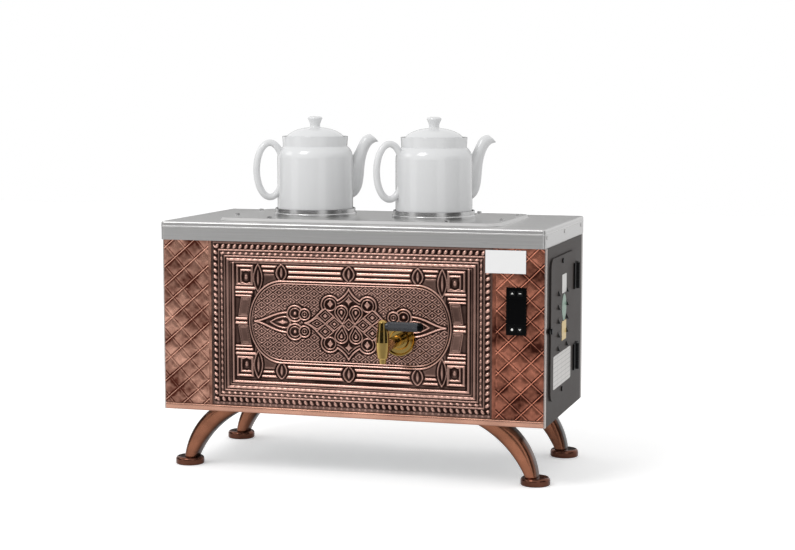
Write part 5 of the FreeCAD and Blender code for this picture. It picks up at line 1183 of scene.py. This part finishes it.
def make_leg(name, sign):
    """Leg swept from its root to its ankle. sign is -1 on the left and 1 on the right."""
    low, high = limits(name)
    root = low[0] if sign > 0 else high[0]
    top, ankle = high[2], low[2]
    outer = bowed((LEG_TOP_WIDTH, top), (LEG_REACH, ankle), LEG_OUTER_BOW, LEG_ROWS)
    inner = bowed((0, top), (LEG_REACH - LEG_ANKLE, ankle), LEG_INNER_BOW, LEG_ROWS)
    angle = np.linspace(0, FULL_TURN, LEG_AROUND, endpoint=False)
    cosine, sine = np.cos(angle), np.sin(angle)
    full = (np.abs(cosine) ** LEG_FULLNESS + np.abs(sine) ** LEG_FULLNESS) ** (-1 / LEG_FULLNESS)
    share, deep = full * cosine, full * sine
    middle, half = (outer + inner) / 2, (outer - inner) / 2
    flat = middle[:, None, :] + half[:, None, :] * share[None, :, None]
    depth = (low[1] + high[1]) / 2 + (high[1] - low[1]) / 2 * deep
    depth = np.broadcast_to(depth, flat.shape[:2])
    points = np.stack([root + sign * flat[..., 0], depth, flat[..., 1]], axis=-1)
    if sign < 0:
        points = points[:, ::-1]
        share = share[::-1]
    # Lighter along the middle of the section and darker towards its edges.
    rubbed = np.broadcast_to(LEG_MIDDLE_TONE - LEG_EDGE_DARK * np.abs(share) ** 3, flat.shape[:2])
    skin(name + "_casting", points, leg_copper, "urn", [name], "copper_paint", rubbed)


for name, sign in LEGS.items():
    make_leg(name, sign)
print("legs:", len(LEGS), "with", LEG_ROWS * LEG_AROUND, "points each")

# %% [markdown]
# The lever is a dark plastic grip with a fine diamond knurl, a smooth collar next to the hub and
# a rounded glossy cap at its end. The knurl could be a bump, but its outline shows against the
# copper, so it is a ripple on the turned rings.

# %% Lever
CAP_LENGTH, COLLAR_LENGTH, COLLAR_STEP = 7.5, 6, 0.9
CAP_INSET, CAP_FULLNESS = 0.25, 4
KNURLS, KNURL_LEAN, KNURL_DEPTH = 16, 1.6, 0.4
low, high = limits("tap_lever")
axis_y, axis_z = (low[1] + high[1]) / 2, (low[2] + high[2]) / 2
full = (high[2] - low[2]) / 2
cap_start, collar_end = high[0] - CAP_LENGTH, low[0] + COLLAR_LENGTH


def knurl(along, turn):
    """Two crossing sets of shallow grooves, only between the collar and the cap."""
    first = np.cos(KNURLS * turn + along * KNURL_LEAN)
    second = np.cos(KNURLS * turn - along * KNURL_LEAN)
    after_collar = step(collar_end, collar_end + 1, along)
    before_cap = 1 - step(cap_start - 1.5, cap_start - 0.5, along)
    return -KNURL_DEPTH * (2 - first - second) / 2 * after_collar * before_cap


along = np.linspace(low[0], cap_start, 150)
radius = full - COLLAR_STEP * (1 - step(collar_end - 1, collar_end, along))
skin("lever_grip", lathe(np.stack([along, radius], axis=-1), (0, axis_y, axis_z), "x", 132, knurl),
     lever_plastic, "tap_handle", ["tap_lever"], "lever_plastic")
share = np.linspace(0, 1, 22)
along = cap_start + (high[0] - cap_start) * share
radius = (full - CAP_INSET) * np.sqrt(np.clip(1 - (share * 0.99) ** CAP_FULLNESS, 0, 1))
skin("lever_cap", lathe(np.stack([along, radius], axis=-1), (0, axis_y, axis_z), "x", 64),
     black_gloss, "tap_handle", ["tap_lever"], "lever_plastic")
print("lever:", round(high[0] - low[0], 1), "mm long")

# %% [markdown]
# The lids are round like the pots: a low dome with a knob that widens to its top, hollow
# underneath, with a skirt that sits in the pot's mouth. Half a section turned round makes such a
# form, and Bezier stretches keep the section soft with few points.

# %% Lids
LID_RADIUS, SKIRT = 47.5, 7
KNOB = curve((0, 36.4), (9.5, 36.4), (12, 35.6), (12, 32.2), count=10)
NECK = curve((12, 32.2), (10.2, 29), (7.4, 23), (7.4, 19), (10, 17.8), count=16)
DOME = curve((10, 17.8), (28, 16.8), (42, 10), (47.2, 3.6), count=24)
RIM = [(47.5, 2.8), (47.5, 0.4), (47.1, 0), (43.2, 0), (43, -0.3), (43, -6.6), (42.6, -7)]
UNDER = [(40, -7), (39.6, -6.6), (39.6, -0.4)] + curve((39.6, 0), (30, 12), (14, 14.3), (0, 14.3),
                                                       count=14)
LID_PROFILE = KNOB + NECK[1:] + DOME[1:] + RIM + UNDER


def make_lid(side):
    """Lid from its profile of pairs (radius, height over its seat)."""
    low, high = limits("teapot_lid_" + side)
    scale = (high[0] - low[0]) / 2 / LID_RADIUS
    pairs = [(up, max(radius * scale, 0.02)) for radius, up in LID_PROFILE]
    centre = ((low[0] + high[0]) / 2, (low[1] + high[1]) / 2, low[2] + SKIRT)
    skin("lid_%s_china" % side, lathe(pairs[::-1], centre, count=72), porcelain, "lid_" + side,
         ["teapot_lid_" + side], "porcelain")


for side in ("left", "right"):
    make_lid(side)
print("lids:", len(LID_PROFILE), "profile points")

# %% [markdown]
# Under its top edge the tray carries a rolled bead, a thin half-round that runs all the way
# round. A bevelled curve would do as well. The skin of rings is at hand and closes on itself, so
# it follows the tray's rounded corners as one loop.

# %% Tray bead
BEAD_DROP, BEAD_HALF, BEAD_RISE, CORNER = 8.0, 1.3, 0.55, 5.0
low, high = limits("top_tray")
corners = []
for corner_x, corner_y, start in ((high[0], high[1], 0), (low[0], high[1], 90),
                                  (low[0], low[1], 180), (high[0], low[1], 270)):
    inwards_x = CORNER if corner_x == low[0] else -CORNER
    inwards_y = CORNER if corner_y == low[1] else -CORNER
    corners += [(corner_x + inwards_x, corner_y + inwards_y, math.radians(start + angle))
                for angle in np.linspace(0, 90, 9)]
corners = np.array(corners)
angle = np.linspace(0, FULL_TURN, 12, endpoint=False)
reach = CORNER + BEAD_RISE * np.cos(angle)
up = high[2] - BEAD_DROP + BEAD_HALF * np.sin(angle)
points = np.stack([corners[:, :1] + reach * np.cos(corners[:, 2:]),
                   corners[:, 1:2] + reach * np.sin(corners[:, 2:]),
                   np.broadcast_to(up, (len(corners), len(angle)))], axis=-1)
skin("tray_bead", points[:, ::-1], tray_steel, "urn", slot="tray_steel", looped=True)
print("tray bead:", len(corners), "stations")

# %% [markdown]
# ## Door labels, louvre shades and key signs
#
# The labels on the door are blank films: a white one, a green lens, a yellow one and a large one
# with an empty table. Each louvre's cheek, where the pressed tongue turns back into the door, lies
# in shadow, and a black film on it is painted shadow. The four keys carry small plain signs. A
# decal would need an image, so each of these is a thin closed slab cut to its outline.


# %% Labels
def film(name, outline, axis, near, far, material, body, replaced=(), slot=None):
    """Thin closed slab with a flat outline. axis is the way it faces: x for +X, y for -Y."""
    outline = np.asarray(outline, float)
    count = len(outline)
    layers = []
    for depth in (near, far):
        depths = np.full(count, depth)
        if axis == "x":
            layers.append(np.stack([depths, outline[:, 0], outline[:, 1]], axis=-1))
        else:
            layers.append(np.stack([outline[:, 0], depths, outline[:, 1]], axis=-1))
    number = np.arange(count)
    after = np.roll(number, -1)
    sides = np.stack([number, number + count, after + count, after], axis=-1)
    faces = [number.tolist(), (number[::-1] + count).tolist()] + sides.tolist()
    new_piece(name, np.concatenate(layers), faces, material, body, replaced, slot, smooth=False)


def rounded(middle, half, fullness, count=48):
    """Outline of a superellipse: high fullness gives a rounded rectangle, 1.9 a lens."""
    angle = np.linspace(0, FULL_TURN, count, endpoint=False)
    cosine, sine = np.cos(angle), np.sin(angle)
    right = np.sign(cosine) * np.abs(cosine) ** (2 / fullness)
    up = np.sign(sine) * np.abs(sine) ** (2 / fullness)
    return np.stack([middle[0] + half[0] * right, middle[1] + half[1] * up], axis=-1)


RECTANGLE, LENS_FORM = 24, 1.9
# Each label: its middle from the low corner of them all, its half sizes, form and film.
LABELS = {"white_label": ((84.5, 161.5), (17.5, 15), RECTANGLE, label_film),
          "green_label": ((84.5, 123), (17.5, 21.5), LENS_FORM, green_film),
          "yellow_label": ((84.5, 85.5), (17.5, 15.5), RECTANGLE, yellow_film),
          "data_plate": ((70.5, 26.5), (70.5, 26.5), RECTANGLE, plate_film)}
low, high = limits("door_labels")
for name, (middle, half, form, finish) in LABELS.items():
    outline = rounded((low[1] + middle[0], low[2] + middle[1]), half, form)
    film(name, outline, "x", high[0], low[0], finish, "door", ["door_labels"], "label")
print("labels:", len(LABELS))

# %% Louvre shades
LOUVRE_ROWS, LOUVRE_PITCH, LOUVRE_LIFT = 5, 22.05, 74.6
LOUVRE_STAND, LOUVRE_HEIGHT, LOUVRE_FRONTS = 4.0, 8.0, (56, 124)
low, high = limits("side_door")
door_face = high[0] - LOUVRE_STAND
for column, front in enumerate(LOUVRE_FRONTS):
    for row in range(LOUVRE_ROWS):
        foot = low[2] + LOUVRE_LIFT + row * LOUVRE_PITCH
        # Painted shadow: a black film on each louvre's cheek, where its opening lies in shade.
        cheek = [(door_face, foot), (high[0], foot), (door_face + 0.5, foot + LOUVRE_HEIGHT),
                 (door_face, foot + LOUVRE_HEIGHT)]
        film("louvre_painted_shadow_%d_%d" % (column + 1, row + 1), cheek, "y", low[1] + front - 1.5,
             low[1] + front + 0.1, rubber, "door", slot="rubber")
print("louvre shades:", len(LOUVRE_FRONTS) * LOUVRE_ROWS)

# %% Key signs
CHEVRON = [(-1.9, -0.9), (-1.2, -1.5), (0, -0.1), (1.2, -1.5), (1.9, -0.9), (0, 1.4)]
BAR = [(-2, -0.45), (2, -0.45), (2, 0.45), (-2, 0.45)]
SIGNS = {"upper_left_button": CHEVRON, "upper_right_button": BAR,
         "lower_left_button": rounded((0, 0), (1.7, 1.9), 2.4, 24),
         "lower_right_button": [(across, -up) for across, up in CHEVRON[::-1]]}
for key, sign in SIGNS.items():
    low, high = limits(key)
    middle = np.array([(low[0] + high[0]) / 2, (low[2] + high[2]) / 2])
    film(key + "_sign", middle + np.array(sign), "y", low[1] - 0.15, low[1] + 0.1, white_plastic,
         key, slot="white_plastic")
print("signs:", len(SIGNS))

# %% [markdown]
# ## Studio
#
# A plain pale floor runs to a white background, and two wide soft lamps stand on the left. White
# all round would leave metal flat, so dark cards stand outside the view as studio flags do. They
# show only in shiny pieces, and take no light from the rest.

# %% Studio helpers
AIM = (0, 0, 0.3)
CARD_FOOT = 0.02


def flat_face(name, corners, material):
    """One face through four corners."""
    mesh = bpy.data.meshes.new(name)
    mesh.from_pydata(corners, [], [(0, 1, 2, 3)])
    mesh.materials.append(material)
    return new_object(name, mesh)


def soft_lamp(name, place, size, power):
    """Square area lamp turned to the middle of the urn."""
    data = bpy.data.lights.new(name, "AREA")
    data.size = size
    data.energy = power
    lamp = new_object(name, data)
    lamp.location = place
    way = np.array(AIM, float) - np.array(place, float)
    flat = math.hypot(way[0], way[1])
    lamp.rotation_euler = (math.atan2(flat, -way[2]), 0, math.atan2(way[1], way[0]) - math.pi / 2)
    return lamp


def dark_card(name, x, y, width, height, turn):
    """Upright card at x, y that only shows in shiny pieces."""
    half = width / 2
    corners = [(-half, 0, 0), (half, 0, 0), (half, 0, height), (-half, 0, height)]
    card = flat_face(name, corners, card_black)
    card.location = (x, y, CARD_FOOT)
    card.rotation_euler = (0, 0, math.radians(turn))
    card.visible_camera = False
    card.visible_diffuse = False
    card.visible_transmission = False
    card.visible_shadow = False
    return card


print("lamps aim at", AIM)

# %% Floor, lamps and cards
FLOOR_HALF, FLOOR_GLOW = 6, 0.27
floor_paint, floor_tree, floor_shader = finish_named(
    "floor_paint", Roughness=0.9, Base_Color=(0.97, 0.97, 0.97, 1), Emission_Color=(1, 1, 1, 1))
seen = add(floor_tree, "LightPath").outputs["Is Camera Ray"]
glow = add(floor_tree, "MapRange", Value=seen, To_Max=FLOOR_GLOW)
floor_tree.links.new(glow.outputs["Result"], floor_shader.inputs["Emission Strength"])
floor = flat_face("floor", [(-FLOOR_HALF, -FLOOR_HALF, 0), (FLOOR_HALF, -FLOOR_HALF, 0),
                            (FLOOR_HALF, FLOOR_HALF, 0), (-FLOOR_HALF, FLOOR_HALF, 0)], floor_paint)
top_lamp = soft_lamp("top_lamp", (-0.95, -1.9, 2.6), 1.2, 28)
side_lamp = soft_lamp("side_lamp", (-2.4, -0.6, 1.6), 1.0, 6)
card_black = finish_named("card_black", Base_Color=(0.06, 0.06, 0.06, 1), Roughness=1.0)[0]
cards = [dark_card("right_card", 2.8, -0.9, 2.6, 1.9, 80),
         dark_card("left_card", -2.6, 0.0, 2.8, 1.3, -80),
         dark_card("front_card", -0.3, -2.6, 3.2, 0.66, 0),
         dark_card("back_card", -0.9, 2.6, 2.4, 0.95, 0)]
print("studio: 2 lamps and", len(cards), "cards")

# %% [markdown]
# The background is plain white wherever it is looked at, straight, in a reflection or through
# glass. Only the light that it sheds on the object is weaker, so that white porcelain keeps its
# shading. Light Path tells the two apart, which one strength for all couldn't.

# %% Background
AMBIENT = 0.82
world = bpy.data.worlds.new("studio")
bpy.context.scene.world = world
world.use_nodes = True
world_tree = world.node_tree
background = world_tree.nodes["Background"]
background.inputs["Color"].default_value = (1, 1, 1, 1)
path = add(world_tree, "LightPath").outputs
looked_at = add(world_tree, "Math", path["Is Camera Ray"], path["Is Glossy Ray"],
                operation="MAXIMUM")
through = add(world_tree, "Math", looked_at.outputs[0], path["Is Transmission Ray"],
              operation="MAXIMUM")
level = add(world_tree, "MapRange", Value=through.outputs[0], To_Min=AMBIENT)
world_tree.links.new(level.outputs["Result"], background.inputs["Strength"])
print("background: light at", AMBIENT, "of white")
